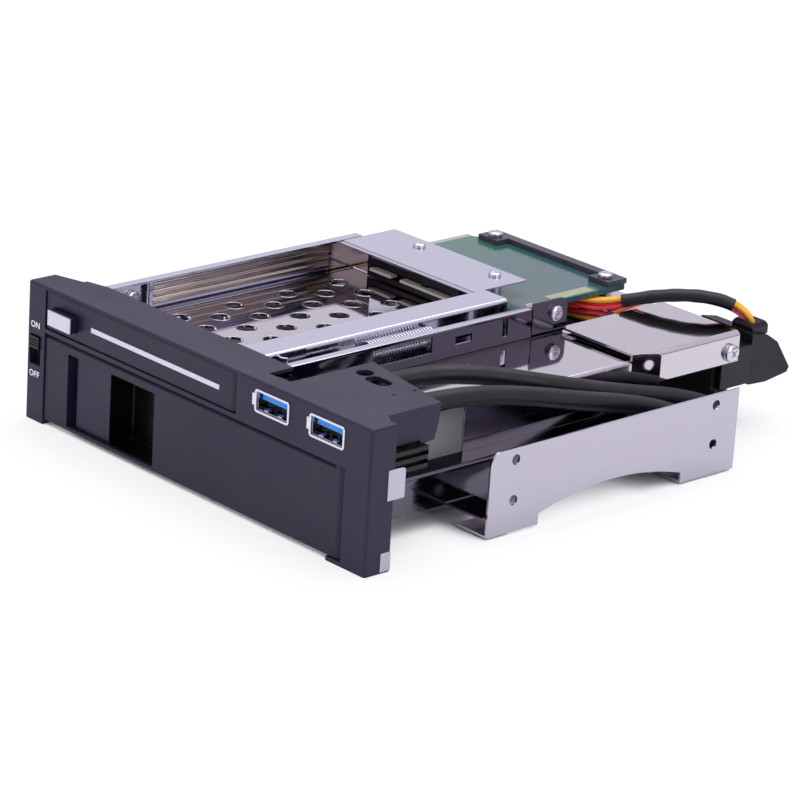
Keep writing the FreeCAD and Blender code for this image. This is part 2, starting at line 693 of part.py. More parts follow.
def light_pipe(name, height):
    """Clear pipe with a collar behind the bezel."""
    piece = Piece(name)
    piece.pad("XZ", 0, S.bezel_plate + 3.0, Ring(-switch_x, height, S.pipe_radius))
    piece.pad("XZ", S.bezel_plate, S.bezel_plate + 1.0,
              Ring(-switch_x, height, S.pipe_radius + 0.5))
    piece.done()


# ---------------------------------------------------------------- lower door and its latch
latch_axis_y = S.latch_setback + S.latch_knuckle
recess_left = -S.recess_left
recess_right = -S.recess_right
latch_free = -S.latch_x + S.latch_width
rim_back = door_back + S.rim_depth


def door_35():
    """Lower door: plate, hinge barrel, latch recess and the cup for a finger."""
    piece = Piece("door_35")
    piece.pad("XZ", S.door_setback, door_back,
              rect(door_left, lower_axis_x, S.lower_door_lift, lower_door_top))
    piece.soften("Chamfer", S.door_bevel, "X", [(S.door_setback, lower_door_top)])
    piece.pad("XY", S.lower_door_lift, lower_door_top,
              Ring(lower_axis_x, lower_axis_y, S.lower_barrel))
    outer = rect(recess_left - S.recess_wall, recess_right + S.recess_wall,
                 S.recess_bottom - S.recess_wall, S.recess_top + S.recess_wall)
    piece.pad("XZ", door_back, rim_back, outer)
    cup_left = latch_free + S.part_gap
    piece.pad("XZ", rim_back, S.cup_depth,
              rect(cup_left - S.recess_wall, recess_right + S.recess_wall,
                   S.recess_bottom - S.recess_wall, S.recess_top + S.recess_wall))
    piece.cut("XZ", S.door_setback, door_back,
              rect(recess_left, recess_right, S.recess_bottom, S.recess_top))
    piece.cut("XZ", door_back, rim_back,
              rect(recess_left, cup_left - S.recess_wall, S.recess_bottom, S.recess_top))
    piece.cut("XZ", door_back, S.cup_depth - S.recess_wall,
              rect(cup_left, recess_right, S.recess_bottom, S.recess_top))
    nose_low = S.latch_nose_z - S.part_gap
    nose_high = S.latch_nose_z + S.latch_nose_height + S.part_gap
    piece.cut("XZ", door_back, rim_back,
              rect(recess_left - S.recess_wall, recess_left, nose_low, nose_high))
    piece.cut("XY", S.lower_door_lift, lower_door_top,
              Ring(lower_axis_x, lower_axis_y, S.hinge_pin + S.fit_gap))
    bite = S.latch_bite + S.fit_gap
    piece.cut("XY", S.recess_bottom - bite, S.recess_top + bite,
              Ring(-S.latch_x, latch_axis_y, S.latch_pin + S.fit_gap))
    piece.done()
    bottom = S.hinge_ear - S.pin_bite
    pin("door_35_pin", S.hinge_pin, S.lower_opening_top + S.pin_bite - bottom, "Z",
        lower_axis_x, lower_axis_y, bottom)


def latch_35():
    """Latch of the lower door: pull plate, knuckle and the arm that ends in the nose."""
    piece = Piece("latch_35")
    low, high = S.recess_bottom + S.part_gap, S.recess_top - S.part_gap
    back = S.latch_setback + S.latch_wall
    piece.pad("XY", low, high, Ring(-S.latch_x, latch_axis_y, S.latch_knuckle))
    piece.pad("XY", low, high, rect(-S.latch_x, latch_free, S.latch_setback, back))
    arm_front = door_back + S.part_gap
    arm_back = arm_front + S.latch_arm_wall
    arm = [
        (-S.latch_x + S.latch_knuckle, back), (-S.latch_x + S.latch_knuckle, arm_back),
        (door_left + 1.4, arm_back), (door_left, arm_back - 0.7), (door_left, arm_front),
        (-S.latch_x - 1.3, arm_front), (-S.latch_x - 1.3, latch_axis_y), (-S.latch_x, back),
    ]
    piece.pad("XY", S.latch_nose_z, S.latch_nose_z + S.latch_nose_height, arm)
    piece.cut("XY", low, high, Ring(-S.latch_x, latch_axis_y, S.latch_pin + S.fit_gap))
    piece.soften("Fillet", 0.5, "Z", [(latch_free, S.latch_setback)])
    piece.done()
    bottom = S.recess_bottom - S.latch_bite
    pin("latch_35_pin", S.latch_pin, S.recess_top + S.latch_bite - bottom, "Z",
        -S.latch_x, latch_axis_y, bottom)


# ---------------------------------------------------------------- upper door and its button
button_side = S.button_width / 2
button_tall = S.button_height / 2


def door_25():
    """Upper door: plate, hinge barrel, trim groove and the button's guide."""
    piece = Piece("door_25")
    piece.pad("XZ", S.door_setback, door_back,
              rect(door_left, upper_axis_x, upper_door_low, upper_door_top))
    piece.pad("XY", upper_door_low, upper_door_top,
              Ring(upper_axis_x, upper_axis_y, S.upper_barrel))
    clear_x, clear_z = button_side + S.part_gap, button_tall + S.part_gap
    wall = 0.8
    piece.pad("XZ", door_back, door_back + S.rim_depth,
              rect(-S.button_x - clear_x - wall, -S.button_x + clear_x + wall,
                   S.button_z - clear_z - wall, S.button_z + clear_z + wall))
    piece.cut("XZ", S.door_setback, door_back + S.rim_depth,
              rect(-S.button_x - clear_x, -S.button_x + clear_x,
                   S.button_z - clear_z, S.button_z + clear_z))
    piece.cut("XZ", S.door_setback, S.door_setback + S.trim_depth,
              rect(-S.trim_left, S.trim_right, S.trim_z - S.trim_height / 2,
                   S.trim_z + S.trim_height / 2))
    piece.cut("XY", upper_door_low, upper_door_top,
              Ring(upper_axis_x, upper_axis_y, S.hinge_pin + S.fit_gap))
    piece.done()
    bottom = S.upper_opening_bottom - S.pin_bite
    pin("door_25_pin", S.hinge_pin, upper_opening_top + S.pin_bite - bottom, "Z",
        upper_axis_x, upper_axis_y, bottom)
    trim = Piece("door_25_trim")
    trim.pad("XZ", S.door_setback - S.trim_proud, S.door_setback + S.trim_depth,
             rect(-S.trim_left + S.fit_gap, S.trim_right - S.fit_gap,
                  S.trim_z - S.trim_height / 2 + S.fit_gap,
                  S.trim_z + S.trim_height / 2 - S.fit_gap))
    trim.done()


def eject_button():
    """Push button of the upper door and its bright face plate."""
    seat = -S.button_proud + S.button_cap
    back = door_back + S.rim_depth - 0.4
    body = Piece("eject_button")
    body.pad("XZ", seat, back, rect(-S.button_x - button_side, -S.button_x + button_side,
                                    S.button_z - button_tall, S.button_z + button_tall))
    body.cut("XZ", seat + 1.6, back,
             rect(-S.button_x - button_side + 1, -S.button_x + button_side - 1,
                  S.button_z - button_tall + 1, S.button_z + button_tall - 1))
    body.done()
    face = Piece("eject_button_face")
    face.pad("XZ", -S.button_proud, seat,
             rect(-S.button_x - button_side, -S.button_x + button_side,
                  S.button_z - button_tall, S.button_z + button_tall))
    face.soften("Fillet", 0.3, "Z", [(-S.button_x - button_side, -S.button_proud),
                                     (-S.button_x + button_side, -S.button_proud)])
    face.done()


# ---------------------------------------------------------------- USB ports
port_low = S.port_z - S.port_height / 2
board_front = S.bezel_plate + 3.4
gland_front = S.port_depth + 0.6
gland_back = gland_front + 8.0


def usb_housing():
    """Hood over the ports: roof, stepped right wall, left wall and a front frame."""
    piece = Piece("usb_housing")
    front = S.bezel_plate
    under = S.housing_top - S.housing_wall
    inner_left = S.housing_left + 7.6
    broad = half_bezel - S.bezel_skirt - S.part_gap
    lid = [
        (inner_left, front), (broad, front), (broad, front + 3.0),
        (S.housing_right, front + 5.6), (S.housing_right, S.housing_back_right),
        (inner_left, S.housing_back_left),
    ]
    piece.pad("XY", under, S.housing_top, lid)
    low = S.plate_top - 6.5
    side = [
        (front, low), (S.housing_back_right - 6.2, low),
        (S.housing_back_right - 5.2, S.plate_top - 0.1),
        (S.housing_back_right - 1.8, S.plate_top + 0.4),
        (S.housing_back_right - 0.4, S.plate_top + 5.4),
        (S.housing_back_right, S.housing_top), (front, S.housing_top),
    ]
    piece.pad("YZ", S.housing_right - S.housing_wall, S.housing_right, side)
    corner = [
        (S.housing_right - S.housing_wall, front), (broad, front), (broad, front + 3.0),
        (S.housing_right, front + 5.6), (S.housing_right - S.housing_wall, front + 5.6),
    ]
    piece.pad("XY", low, S.housing_top, corner)
    carrier_low = S.plate_top + S.part_gap
    piece.pad("XZ", front, front + 3.0,
              rect(S.housing_left, S.housing_right, carrier_low,
                   upper_opening_top - S.part_gap))
    piece.pad("YZ", inner_left, inner_left + S.housing_wall,
              rect(gland_back + S.part_gap, S.housing_back_left, carrier_low, S.housing_top))
    holes = []
    for middle in (S.port_x, port_right_x):
        wide, tall = S.port_width / 2 + S.fit_gap, S.port_height / 2 + S.fit_gap
        holes.append(rect(middle - wide, middle + wide, S.port_z - tall, S.port_z + tall))
    piece.cut("XZ", front, front + 3.0, *holes)
    piece.cut("YZ", S.housing_right - S.housing_wall, S.housing_right,
              rect(12.4, 23.5, S.plate_top - 3.0, S.plate_top + 1.0))
    piece.cut("XY", under, S.housing_top, Ring(38.5, 29.0, 2.5), Ring(56.5, 30.8, 0.5),
              Ring(56.0, 23.8, 0.5),
              [(43.3, 25.1), (47.3, 25.1), Bow(49.8, 27.6), (47.3, 30.1), (43.3, 30.1),
               Bow(40.8 + 0.6, 27.6)])
    piece.done()


def usb_port(side, middle):
    """One port: sheet shell open at the front, and the tongue with the contacts."""
    wide, tall = S.port_width / 2, S.port_height / 2
    shell = Piece("usb_shell_" + side)
    shell.pad("XZ", 0.3, S.port_depth,
              rect(middle - wide, middle + wide, S.port_z - tall, S.port_z + tall))
    shell.cut("XZ", 0.3, S.port_depth - S.port_wall,
              rect(middle - wide + S.port_wall, middle + wide - S.port_wall,
                   S.port_z - tall + S.port_wall, S.port_z + tall - S.port_wall))
    shell.done()
    top = S.port_z + tall - S.port_wall - S.tongue_drop
    half = S.tongue_width / 2
    tongue = Piece("usb_tongue_" + side)
    tongue.pad("XZ", 1.4, S.port_depth - S.port_wall,
               rect(middle - half, middle + half, top - S.tongue_height, top))
    tongue.done()


def usb_board():
    """Board under the ports, with the moulded ends of the two cables."""
    piece = Piece("usb_board")
    piece.pad("XY", port_low - S.board_wall, port_low,
              rect(S.port_x - 7.4, port_right_x + 7.4, board_front, gland_back))
    piece.done()
    for side, middle in (("left", S.port_x + 4.0), ("right", port_right_x - 2.0)):
        gland = Piece("cable_gland_" + side)
        gland.pad("XZ", gland_front, gland_back,
                  rect(middle - 3.2, middle + 3.2, port_low, port_low + 6.4))
        gland.soften("Chamfer", 1.2, "Y", [(middle - 3.2, port_low + 6.4),
                                           (middle + 3.2, port_low + 6.4)])
        gland.done()


# ---------------------------------------------------------------- cage of the lower bay
def cage_35():
    """Perforated roof of the lower bay, its right wall, and the raised hood at the rear."""
    piece = Piece("cage_35")
    roof = [
        (-S.plate_left, S.plate_front), (cage_right, S.plate_front), (cage_right, S.hood_start),
        (hood_right, S.hood_wide), (hood_right, S.cage_back), (-S.plate_left, S.cage_back),
    ]
    piece.pad("XY", plate_low, S.plate_top, roof)
    piece.pad("YZ", cage_right - S.sheet, cage_right,
              rect(S.wall_front, S.hood_start, S.shelf_top, S.plate_top))
    top = S.plate_top + S.hood_raise
    piece.cut("XY", plate_low, S.plate_top,
              rect(S.hood_left + S.sheet, hood_right + 1, S.hood_start, S.cage_back + 1))
    piece.pad("XY", top - S.sheet, top, [
        (S.hood_left, S.hood_start), (cage_right, S.hood_start), (hood_right, S.hood_wide),
        (hood_right, S.cage_back), (S.hood_left, S.cage_back)])
    piece.pad("YZ", S.hood_left, S.hood_left + S.sheet,
              rect(S.hood_start, S.cage_back, plate_low, top))
    flap = [
        (cage_right - S.sheet, S.hood_start - 0.1), (cage_right, S.hood_start - 0.1),
        (hood_right, S.hood_wide), (hood_right - S.sheet, S.hood_wide),
    ]
    piece.pad("XY", S.plate_top - S.flap_height, top, flap)
    piece.pad("YZ", hood_right - S.sheet, hood_right,
              rect(S.hood_wide, S.cage_back, S.plate_top - S.hood_skirt, top))
    piece.soften("Fillet", S.bend, "Y", [(cage_right, S.plate_top)])
    piece.soften("Fillet", S.hood_bend, "Y", [(hood_right, top)])
    rings = []
    for line in range(int(S.vent_rows.value)):
        for place in range(int(S.vent_columns.value)):
            shift = place + 0.5 * (line % 2)
            rings.append(Ring(-S.vent_x + S.vent_pitch_x * shift,
                              S.vent_y + S.vent_pitch_y * line, S.vent_radius))
    piece.cut("XY", plate_low, S.plate_top, *rings)
    piece.done()


def cage_side_left():
    """Left wall of the lower bay: an angle under the roof, with its own flap and skirt."""
    piece = Piece("cage_side_left")
    top = plate_low
    piece.folded("XZ", S.wall_front, S.hood_start,
                 [(-S.plate_left + 1.5, top), (cage_left + S.sheet, top),
                  (cage_left + S.sheet, S.shelf_top)], S.sheet)
    piece.pad("XY", S.plate_top - S.flap_height, top,
              [(cage_left, S.hood_start), (cage_left + S.sheet, S.hood_start),
               (hood_left + S.sheet, S.hood_wide), (hood_left, S.hood_wide)])
    piece.pad("YZ", hood_left, hood_left + S.sheet,
              rect(S.hood_wide, S.cage_back, S.plate_top - S.hood_skirt, top))
    piece.done()


def guide_rail(side):
    """Rail beside the lower bay: shelf, face and the webs that reach the side bracket."""
    sign = 1 if side == "right" else -1
    wall = cage_right if side == "right" else cage_left
    face = wall + sign * S.rail_reach
    reach = sign * (bracket_face - S.sheet)
    corners = [(wall - sign * S.sheet, S.shelf_top), (face, S.shelf_top),
               (face, S.rail_face_low + 0.1), (reach, S.rail_face_low + 0.1)]
    piece = Piece("guide_rail_" + side)
    if side == "right":
        piece.folded("XZ", S.rail_front, S.rail_back, corners, S.sheet)
    else:
        outline = fold([(-u, v) for u, v in corners], S.sheet)[0]
        flat = fold([(-u, v) for u, v in corners], S.sheet)
        piece.pad("XZ", S.rail_front, S.rail_back, [(-u, v) for u, v in outline])
        piece.soften("Fillet", S.bend, "Y", [(-flat[1][0][0], flat[1][0][1]),
                                             (-flat[2][1][0], flat[2][1][1])])
        piece.soften("Fillet", S.bend - S.sheet, "Y", [(-flat[2][0][0], flat[2][0][1]),
                                                       (-flat[1][1][0], flat[1][1][1])])
    tab_in, tab_out = face - sign * S.sheet, face + sign * S.tab_flare
    piece.pad("XY", S.shelf_top - S.sheet, S.tab_top, [
        (tab_in, S.rail_front + S.tab_length), (face, S.rail_front + S.tab_length),
        (tab_out, S.rail_front), (tab_out - sign * S.sheet, S.rail_front)])
    web = [sign * (bracket_face + 1), face]
    near, far = (web[1], web[0]) if side == "right" else (web[0], web[1])
    low, high = S.rail_face_low - S.sheet - 0.5, S.rail_face_low + 0.5
    foot_end = S.bracket_front + S.foot_length
    piece.cut("XY", low, high, rect(near, far, S.rail_front, S.bracket_front - 1.5),
              rect(near, far, foot_end, S.arch_back - S.foot_length - 4),
              rect(near, far, S.bracket_back, S.rail_back))
    piece.done()


def drive_guide(side):
    """Inner guide: a leg welded to the rail, a wall beside the drive and a lip under it."""
    piece = Piece("drive_guide_" + side)
    wall = cage_right if side == "right" else -cage_left
    inside = wall + S.rail_reach - S.sheet
    under = S.rail_face_low + 0.1
    lip = S.lip_top - S.sheet
    corners = [(inside, under + S.guide_leg), (inside, under), (wall, under), (wall, lip),
               (wall - S.lip_width, lip)]
    outline, one_side, other_side = fold(corners, S.sheet)
    sign = 1 if side == "right" else -1
    piece.pad("XZ", S.guide_front, S.rail_back,
              [(sign * u, v) for u, v in outline])
    piece.done()


def side_bracket(side):
    """Mounting bracket: four holes, an arch between its feet and tabs under the device."""
    sign = 1 if side == "right" else -1
    inner, outer = sign * (bracket_face - S.sheet), sign * bracket_face
    low, high = (inner, outer) if side == "right" else (outer, inner)
    middle = (S.arch_front + S.arch_back) / 2
    plate = [
        (S.bracket_front, S.bracket_low), (S.arch_front, S.bracket_low),
        (S.arch_front, S.bracket_low + S.arch_spring), Bow(middle, S.arch_top),
        (S.arch_back, S.bracket_low + S.arch_spring), (S.arch_back, S.bracket_low),
        (S.bracket_back, S.bracket_low), (S.bracket_back, S.bracket_top),
        (S.bracket_front, S.bracket_top),
    ]
    piece = Piece("side_bracket_" + side)
    piece.pad("YZ", low, high, plate)
    piece.soften("Fillet", S.bracket_round, "X", [(S.bracket_front, S.bracket_top)])
    tab = sign * (bracket_face - S.sheet - S.foot_reach)
    tab_low, tab_high = (tab, inner) if side == "right" else (inner, tab)
    thick = S.bracket_low + S.sheet
    piece.pad("XY", S.bracket_low, thick,
              rect(tab_low, tab_high, S.bracket_front, S.bracket_front + S.foot_length),
              rect(tab_low, tab_high, S.arch_back, S.bracket_back))
    upper = S.hole_low + S.hole_pitch_z
    rear = S.hole_front + S.hole_pitch_y
    piece.cut("YZ", low, high,
              *[Ring(along, height, S.hole_radius)
                for along in (S.hole_front, rear) for height in (S.hole_low, upper)])
    piece.done()


# ---------------------------------------------------------------- walls of the upper bay
def bay_25_left_wall():
    """Left wall of the upper bay with its foot and its inward flange, and its liner."""
    piece = Piece("bay_25_left_wall")
    outer = bay_left - S.sheet
    piece.folded("XZ", S.bay_front, S.bay_back,
                 [(outer - S.foot_flange, S.plate_top + S.sheet),
                  (outer, S.plate_top + S.sheet), (outer, S.bay_top),
                  (bay_left + S.left_flange, S.bay_top)], S.sheet)
    piece.done()
    liner = Piece("bay_liner")
    high = S.liner_low + S.liner_height
    liner.pad("YZ", bay_left, bay_left + S.liner_wall,
              rect(S.liner_front, S.liner_back, S.liner_low, high))
    ribs = []
    for share in (0.2, 0.5, 0.8):
        middle = S.liner_low + S.liner_height * share
        ribs.append(rect(S.liner_front + 2, S.liner_back - 2,
                         middle - S.liner_rib_width / 2, middle + S.liner_rib_width / 2))
    liner.pad("YZ", bay_left + S.liner_wall, bay_left + S.liner_wall + S.liner_rib, *ribs)
    liner.done()


def bay_25_right_wall():
    """Right wall of the upper bay: flange over the bay, wall, and foot in the channel."""
    piece = Piece("bay_25_right_wall")
    outer = bay_right + S.sheet
    piece.folded("XZ", S.bay_front, S.lever_y - 6,
                 [(bay_right - S.right_flange, S.bay_top), (outer, S.bay_top),
                  (outer, S.plate_top + S.sheet),
                  (outer + S.foot_flange, S.plate_top + S.sheet)], S.sheet)
    piece.done()


def channel_wall():
    """Outer wall of the ejector's channel with its windows and the spring's hook."""
    piece = Piece("channel_wall")
    outer = channel_right + S.sheet
    piece.folded("XZ", S.channel_front, S.channel_back,
                 [(outer - S.channel_flange, S.bay_top), (outer, S.bay_top),
                  (outer, S.plate_top)], S.sheet)
    piece.cut("YZ", channel_right, outer,
              rect(S.window_front, S.window_front + S.window_length, S.window_low,
                   S.window_low + S.window_height),
              rect(S.slot_front, S.slot_front + S.slot_length, S.window_low,
                   S.window_low + S.slot_height),
              rect(S.channel_back - 11.8, S.channel_back - 9.6, S.plate_top + 2.2,
                   S.plate_top + 7.8))
    hook_top = S.spring_z - S.spring_wire / 2 - 0.2
    piece.pad("XY", hook_top - S.sheet, hook_top,
              rect(S.spring_x - 2.0, channel_right, S.hook_y - 2.0, S.hook_y + 2.0))
    piece.cut("XY", hook_top - S.sheet, hook_top, Ring(S.spring_x, S.hook_y, 0.9))
    piece.done()


# ---------------------------------------------------------------- ejector
slider_low = S.plate_top + S.sheet + S.part_gap
slider_top = slider_low + S.slider_wall
slider_left = bay_right + S.sheet + 0.8
lever_low = slider_top + S.part_gap


def ejector_slider():
    """Strip that runs in the channel, with the spring's lug and the stud on its tail."""
    piece = Piece("ejector_slider")
    right = slider_left + S.slider_width
    tail = slider_left + S.slider_tail
    strip = [
        (slider_left, S.slider_front), (right, S.slider_front), (right, S.slider_step),
        (tail, S.slider_step + 2), (tail, S.slider_back), (slider_left, S.slider_back),
    ]
    piece.pad("XY", slider_low, slider_top, strip)
    piece.pad("XZ", S.lug_front, S.lug_front + S.slider_wall,
              rect(S.spring_x - 1.6, S.spring_x + 1.6, slider_top, S.spring_z + 1.2))
    piece.cut("XZ", S.lug_front, S.lug_front + S.slider_wall,
              Ring(S.spring_x, S.spring_z, 0.7))
    piece.pad("XY", slider_top, slider_top + S.lever_wall + S.part_gap,
              Ring(slider_left + S.slider_tail / 2, S.slider_back - 1.2, S.stud_radius))
    piece.done()


def ejector_spring():
    """Tension spring: close coils and a straight wire at each end."""
    outer, wire = S.spring_radius.value, S.spring_wire.value / 2
    mean = outer - wire
    pitch, turns = S.spring_pitch.value, S.spring_turns.value
    helix = Part.makeHelix(pitch, pitch * turns, mean)
    circle = Part.makeCircle(wire, FreeCAD.Vector(mean, 0, 0), FreeCAD.Vector(0, 1, 0.1))
    profile = Part.Wire([circle])
    coils = Part.Wire(helix.Edges).makePipeShell([profile], True, True)
    coils.rotate(FreeCAD.Vector(0, 0, 0), FreeCAD.Vector(1, 0, 0), -90)
    length = pitch * turns
    front_end = S.hook_y.value - S.spring_front.value
    back_end = S.lug_front.value + 0.4 - S.spring_front.value
    wires = []
    for start, bend, end in ((0.0, -3.0, front_end), (length, length + 1.8, back_end)):
        corner = FreeCAD.Vector(mean, start, 0)
        middle = FreeCAD.Vector(0, bend, 0)
        tip = FreeCAD.Vector(0, end, 0)
        for first, last in ((corner, middle), (middle, tip)):
            run = last - first
            wires.append(Part.makeCylinder(wire, run.Length, first, run))
        wires += [Part.makeSphere(wire, corner), Part.makeSphere(wire, middle)]
    target = doc.addObject("Part::Feature", "ejector_spring")
    target.Shape = coils.multiFuse(wires)
    finish(target, "ejector_spring", S.spring_x, S.spring_front, S.spring_z)


def ejector_lever():
    """Lever behind the channel: a barrel on its pin and the arm that moves the drive."""
    piece = Piece("ejector_lever")
    high = lever_low + S.lever_height
    piece.pad("XY", lever_low, high, Ring(S.lever_x, S.lever_y, S.lever_boss))
    half = S.lever_width / 2
    piece.pad("XY", lever_low, lever_low + S.lever_wall,
              [(S.lever_x, S.lever_y - half), (S.lever_x, S.lever_y + half),
               (S.lever_x - S.lever_arm, S.lever_y + half),
               Bow(S.lever_x - S.lever_arm - half, S.lever_y),
               (S.lever_x - S.lever_arm, S.lever_y - half)])
    piece.cut("XY", lever_low, high, Ring(S.lever_x, S.lever_y, S.lever_pin + S.fit_gap))
    piece.done()
    foot_top = S.plate_top + S.sheet
    pin("lever_pin", S.lever_pin, high + 0.4 - foot_top, "Z", S.lever_x, S.lever_y, foot_top)


def lever_bracket():
    """Angle behind the channel that carries the lever's pin, and its bolt."""
    piece = Piece("lever_bracket")
    outer = channel_right + S.sheet
    front = S.channel_back + S.part_gap
    foot = S.lever_x - 1.4
    piece.folded("XZ", front, S.lever_bracket_back,
                 [(outer, S.plate_top + 10.2), (outer, S.plate_top), (foot, S.plate_top)],
                 S.sheet)
    piece.soften("Fillet", 3.0, "X", [(S.lever_bracket_back, S.plate_top + 10.2)])
    piece.cut("YZ", channel_right, outer,
              Ring(S.lever_bracket_back - 5.0, S.plate_top + 6.0, 1.25 + S.fit_gap))
    piece.done()
    head = cylinder("lever_bolt_head", 2.2, 1.2, "X", outer, S.lever_bracket_back - 5.0,
                    S.plate_top + 6.0)
    shank = cylinder("lever_bolt_shank", 1.25, 2.4, "X", outer - 2.4,
                     S.lever_bracket_back - 5.0, S.plate_top + 6.0)
    fused("lever_bolt", [head, shank])


# ---------------------------------------------------------------- upper board
def drive_socket(name, left, low, front, depth, board=None):
    """Drive socket with its narrow data slot, its wide power slot and a seat for its board."""
    piece = Piece(name)
    right = left + S.socket_width
    high = low + S.socket_height
    piece.pad("XZ", front, front + depth, rect(left, right, low, high))
    middle = low + S.socket_height * 0.46
    slots_left = left + (S.socket_width - S.data_slot - S.power_slot - S.slot_gap) / 2
    power_right = slots_left + S.power_slot
    data_left = power_right + S.slot_gap
    slot_low, slot_high = middle - S.slot_opening / 2, middle + S.slot_opening / 2
    piece.cut("XZ", front, front + S.slot_depth,
              rect(slots_left, power_right, slot_low, slot_high),
              rect(data_left, data_left + S.data_slot, slot_low, slot_high))
    piece.soften("Chamfer", 1.0, "Z", [(left, front), (right, front)])
    if board is not None:
        piece.cut("XZ", board, front + depth, rect(left, right, S.upper_board_low, high))
    piece.done()


def backplane_25():
    """Upper board on its spacers, its clamp strip and the header of the power lead."""
    piece = Piece("backplane_25")
    left, right = -S.upper_board_left, S.upper_board_right
    front, back = S.upper_board_front, S.upper_board_back
    board = [
        (left, front), (right, front), (right, back), (left + S.corner_cut, back),
        (left, back - S.corner_cut),
    ]
    piece.pad("XY", S.upper_board_low, upper_board_top, board)
    bore = S.screw_shank + S.fit_gap
    holes = [
        (-S.cover_screw_left, S.cover_screw_y), (-S.cover_screw_right, S.cover_screw_y),
        (-S.strip_screw_left, S.strip_screw_y), (S.strip_screw_right, S.strip_screw_y),
    ]
    piece.cut("XY", S.upper_board_low, upper_board_top, *[Ring(u, v, bore) for u, v in holes])
    piece.done()
    for side, (u, v) in zip(("left", "right"), holes[2:]):
        post = Piece("board_spacer_" + side)
        post.pad("XY", S.plate_top, S.upper_board_low, Ring(u, v, S.spacer_radius),
                 Ring(u, v, bore))
        post.done()
    strip = Piece("board_clamp_strip")
    strip_back = back + 1.2
    strip_front = S.strip_screw_y - 3.0
    outline = [
        (-S.strip_screw_left - 4.4, strip_front), (-S.strip_screw_left + 4.0, strip_front),
        (-S.strip_screw_left + 4.0, back - 2.2), (S.strip_screw_right - 4.0, back - 2.2),
        (S.strip_screw_right - 4.0, strip_front), (right - 0.4, strip_front),
        (right - 0.4, strip_back), (-S.strip_screw_left - 4.4, strip_back),
    ]
    strip.pad("XY", upper_board_top, upper_board_top + S.strip_wall, outline)
    strip.cut("XY", upper_board_top, upper_board_top + S.strip_wall,
              *[Ring(u, v, bore) for u, v in holes[2:]])
    strip.done()
    for side, (u, v) in zip(("left", "right"), holes[2:]):
        screw("strip_screw_" + side, S.dome_radius, 1.3, S.screw_shank, 5.0,
              u, v, upper_board_top + S.strip_wall)
    header = Piece("power_header")
    header.pad("XY", S.plate_top + S.lead_clearance, S.upper_board_low,
               rect(S.header_left, S.header_left + S.header_width, S.header_front,
                    S.header_front + S.header_length))
    header.done()


def bay_25_cover():
    """Cover over the rear of the upper bay: plate, stepped front lip and two posts."""
    piece = Piece("bay_25_cover")
    left = bay_left + S.left_flange + S.part_gap
    right = bay_right - S.right_flange - S.part_gap
    low, high = S.bay_top - 0.6, S.bay_top - 0.1
    piece.pad("XY", low, high, rect(left, right, S.cover_front + 1.6, S.cover_back))
    piece.pad("XY", low - 0.1, low + 0.2, rect(left, right, S.cover_front,
                                               S.cover_front + 3.0))
    posts = [(-S.cover_screw_left, S.cover_screw_y), (-S.cover_screw_right, S.cover_screw_y)]
    piece.pad("XY", upper_board_top, low, *[Ring(u, v, S.spacer_radius) for u, v in posts])
    piece.cut("XY", upper_board_top, high,
              *[Ring(u, v, S.screw_shank + S.fit_gap) for u, v in posts])
    piece.done()
    for side, (u, v) in zip(("left", "right"), posts):
        screw("cover_screw_" + side, S.screw_head, 1.1, S.screw_shank, 5.6, u, v, high)


# ---------------------------------------------------------------- lower board
def backplane_35():
    """Upright board across the rear of the lower bay, with the socket and the inlet."""
    piece = Piece("backplane_35")
    edge_left, edge_right = cage_left + S.sheet + 0.3, cage_right - S.sheet - 0.3
    top = plate_low - 0.3
    piece.pad("XZ", S.lower_board_front, lower_board_back,
              rect(edge_left, edge_right, S.lower_board_low, top))
    piece.cut("XZ", S.lower_board_front, lower_board_back,
              *[rect(edge_left + 8 + 22 * place, edge_left + 22 + 22 * place, top - 8.5,
                     top - 3.5) for place in range(3)])
    piece.done()
    drive_socket("sata_receptacle_35", -S.lower_socket_left, S.lower_socket_z,
                 S.lower_board_front - S.lower_socket_depth, S.lower_socket_depth)
    inlet = Piece("power_inlet")
    high = S.inlet_low + S.inlet_height
    right = S.inlet_left + S.inlet_width
    inlet.pad("XZ", lower_board_back, lower_board_back + S.inlet_depth,
              rect(S.inlet_left, right, S.inlet_low, high))
    inlet.cut("XZ", lower_board_back + 3, lower_board_back + S.inlet_depth,
              rect(S.inlet_left + 1.2, right - 1.2, S.inlet_low + 1.2, high - 1.2))
    inlet.done()


# ---------------------------------------------------------------- cords
def tube(name, points, radius):
    """A cord's tube: straight runs joined by tangent arcs."""
    points = [FreeCAD.Vector(*point) for point in points]
    edges, at, bends = [], points[0], []
    for before, corner, after in zip(points, points[1:], points[2:]):
        into, out = corner - before, after - corner
        shorter = min(into.Length, out.Length)
        half_turn = into.getAngle(out) / 2
        bends.append(0.45 * shorter / math.tan(half_turn))
        into.normalize()
        out.normalize()
        start, end = corner - into * (0.45 * shorter), corner + out * (0.45 * shorter)
        inward = out - into
        inward.normalize()
        reach = bends[-1] / math.cos(half_turn) - bends[-1]
        edges.append(Part.LineSegment(at, start).toShape())
        edges.append(Part.Arc(start, corner + inward * reach, end).toShape())
        at = end
    edges.append(Part.LineSegment(at, points[-1]).toShape())
    path = Part.Wire(edges)
    section = Part.Wire([Part.makeCircle(radius, points[0], points[1] - points[0])])
    solid = path.makePipeShell([section], True, False)
    print("%s: length %.0f, least radius %.1f, volume over section x length %.4f" % (
        name, path.Length, min(bends), solid.Volume / (path.Length * math.pi * radius ** 2)))
    target = doc.addObject("Part::Feature", name)
    target.Shape = solid
    return finish(target, name)


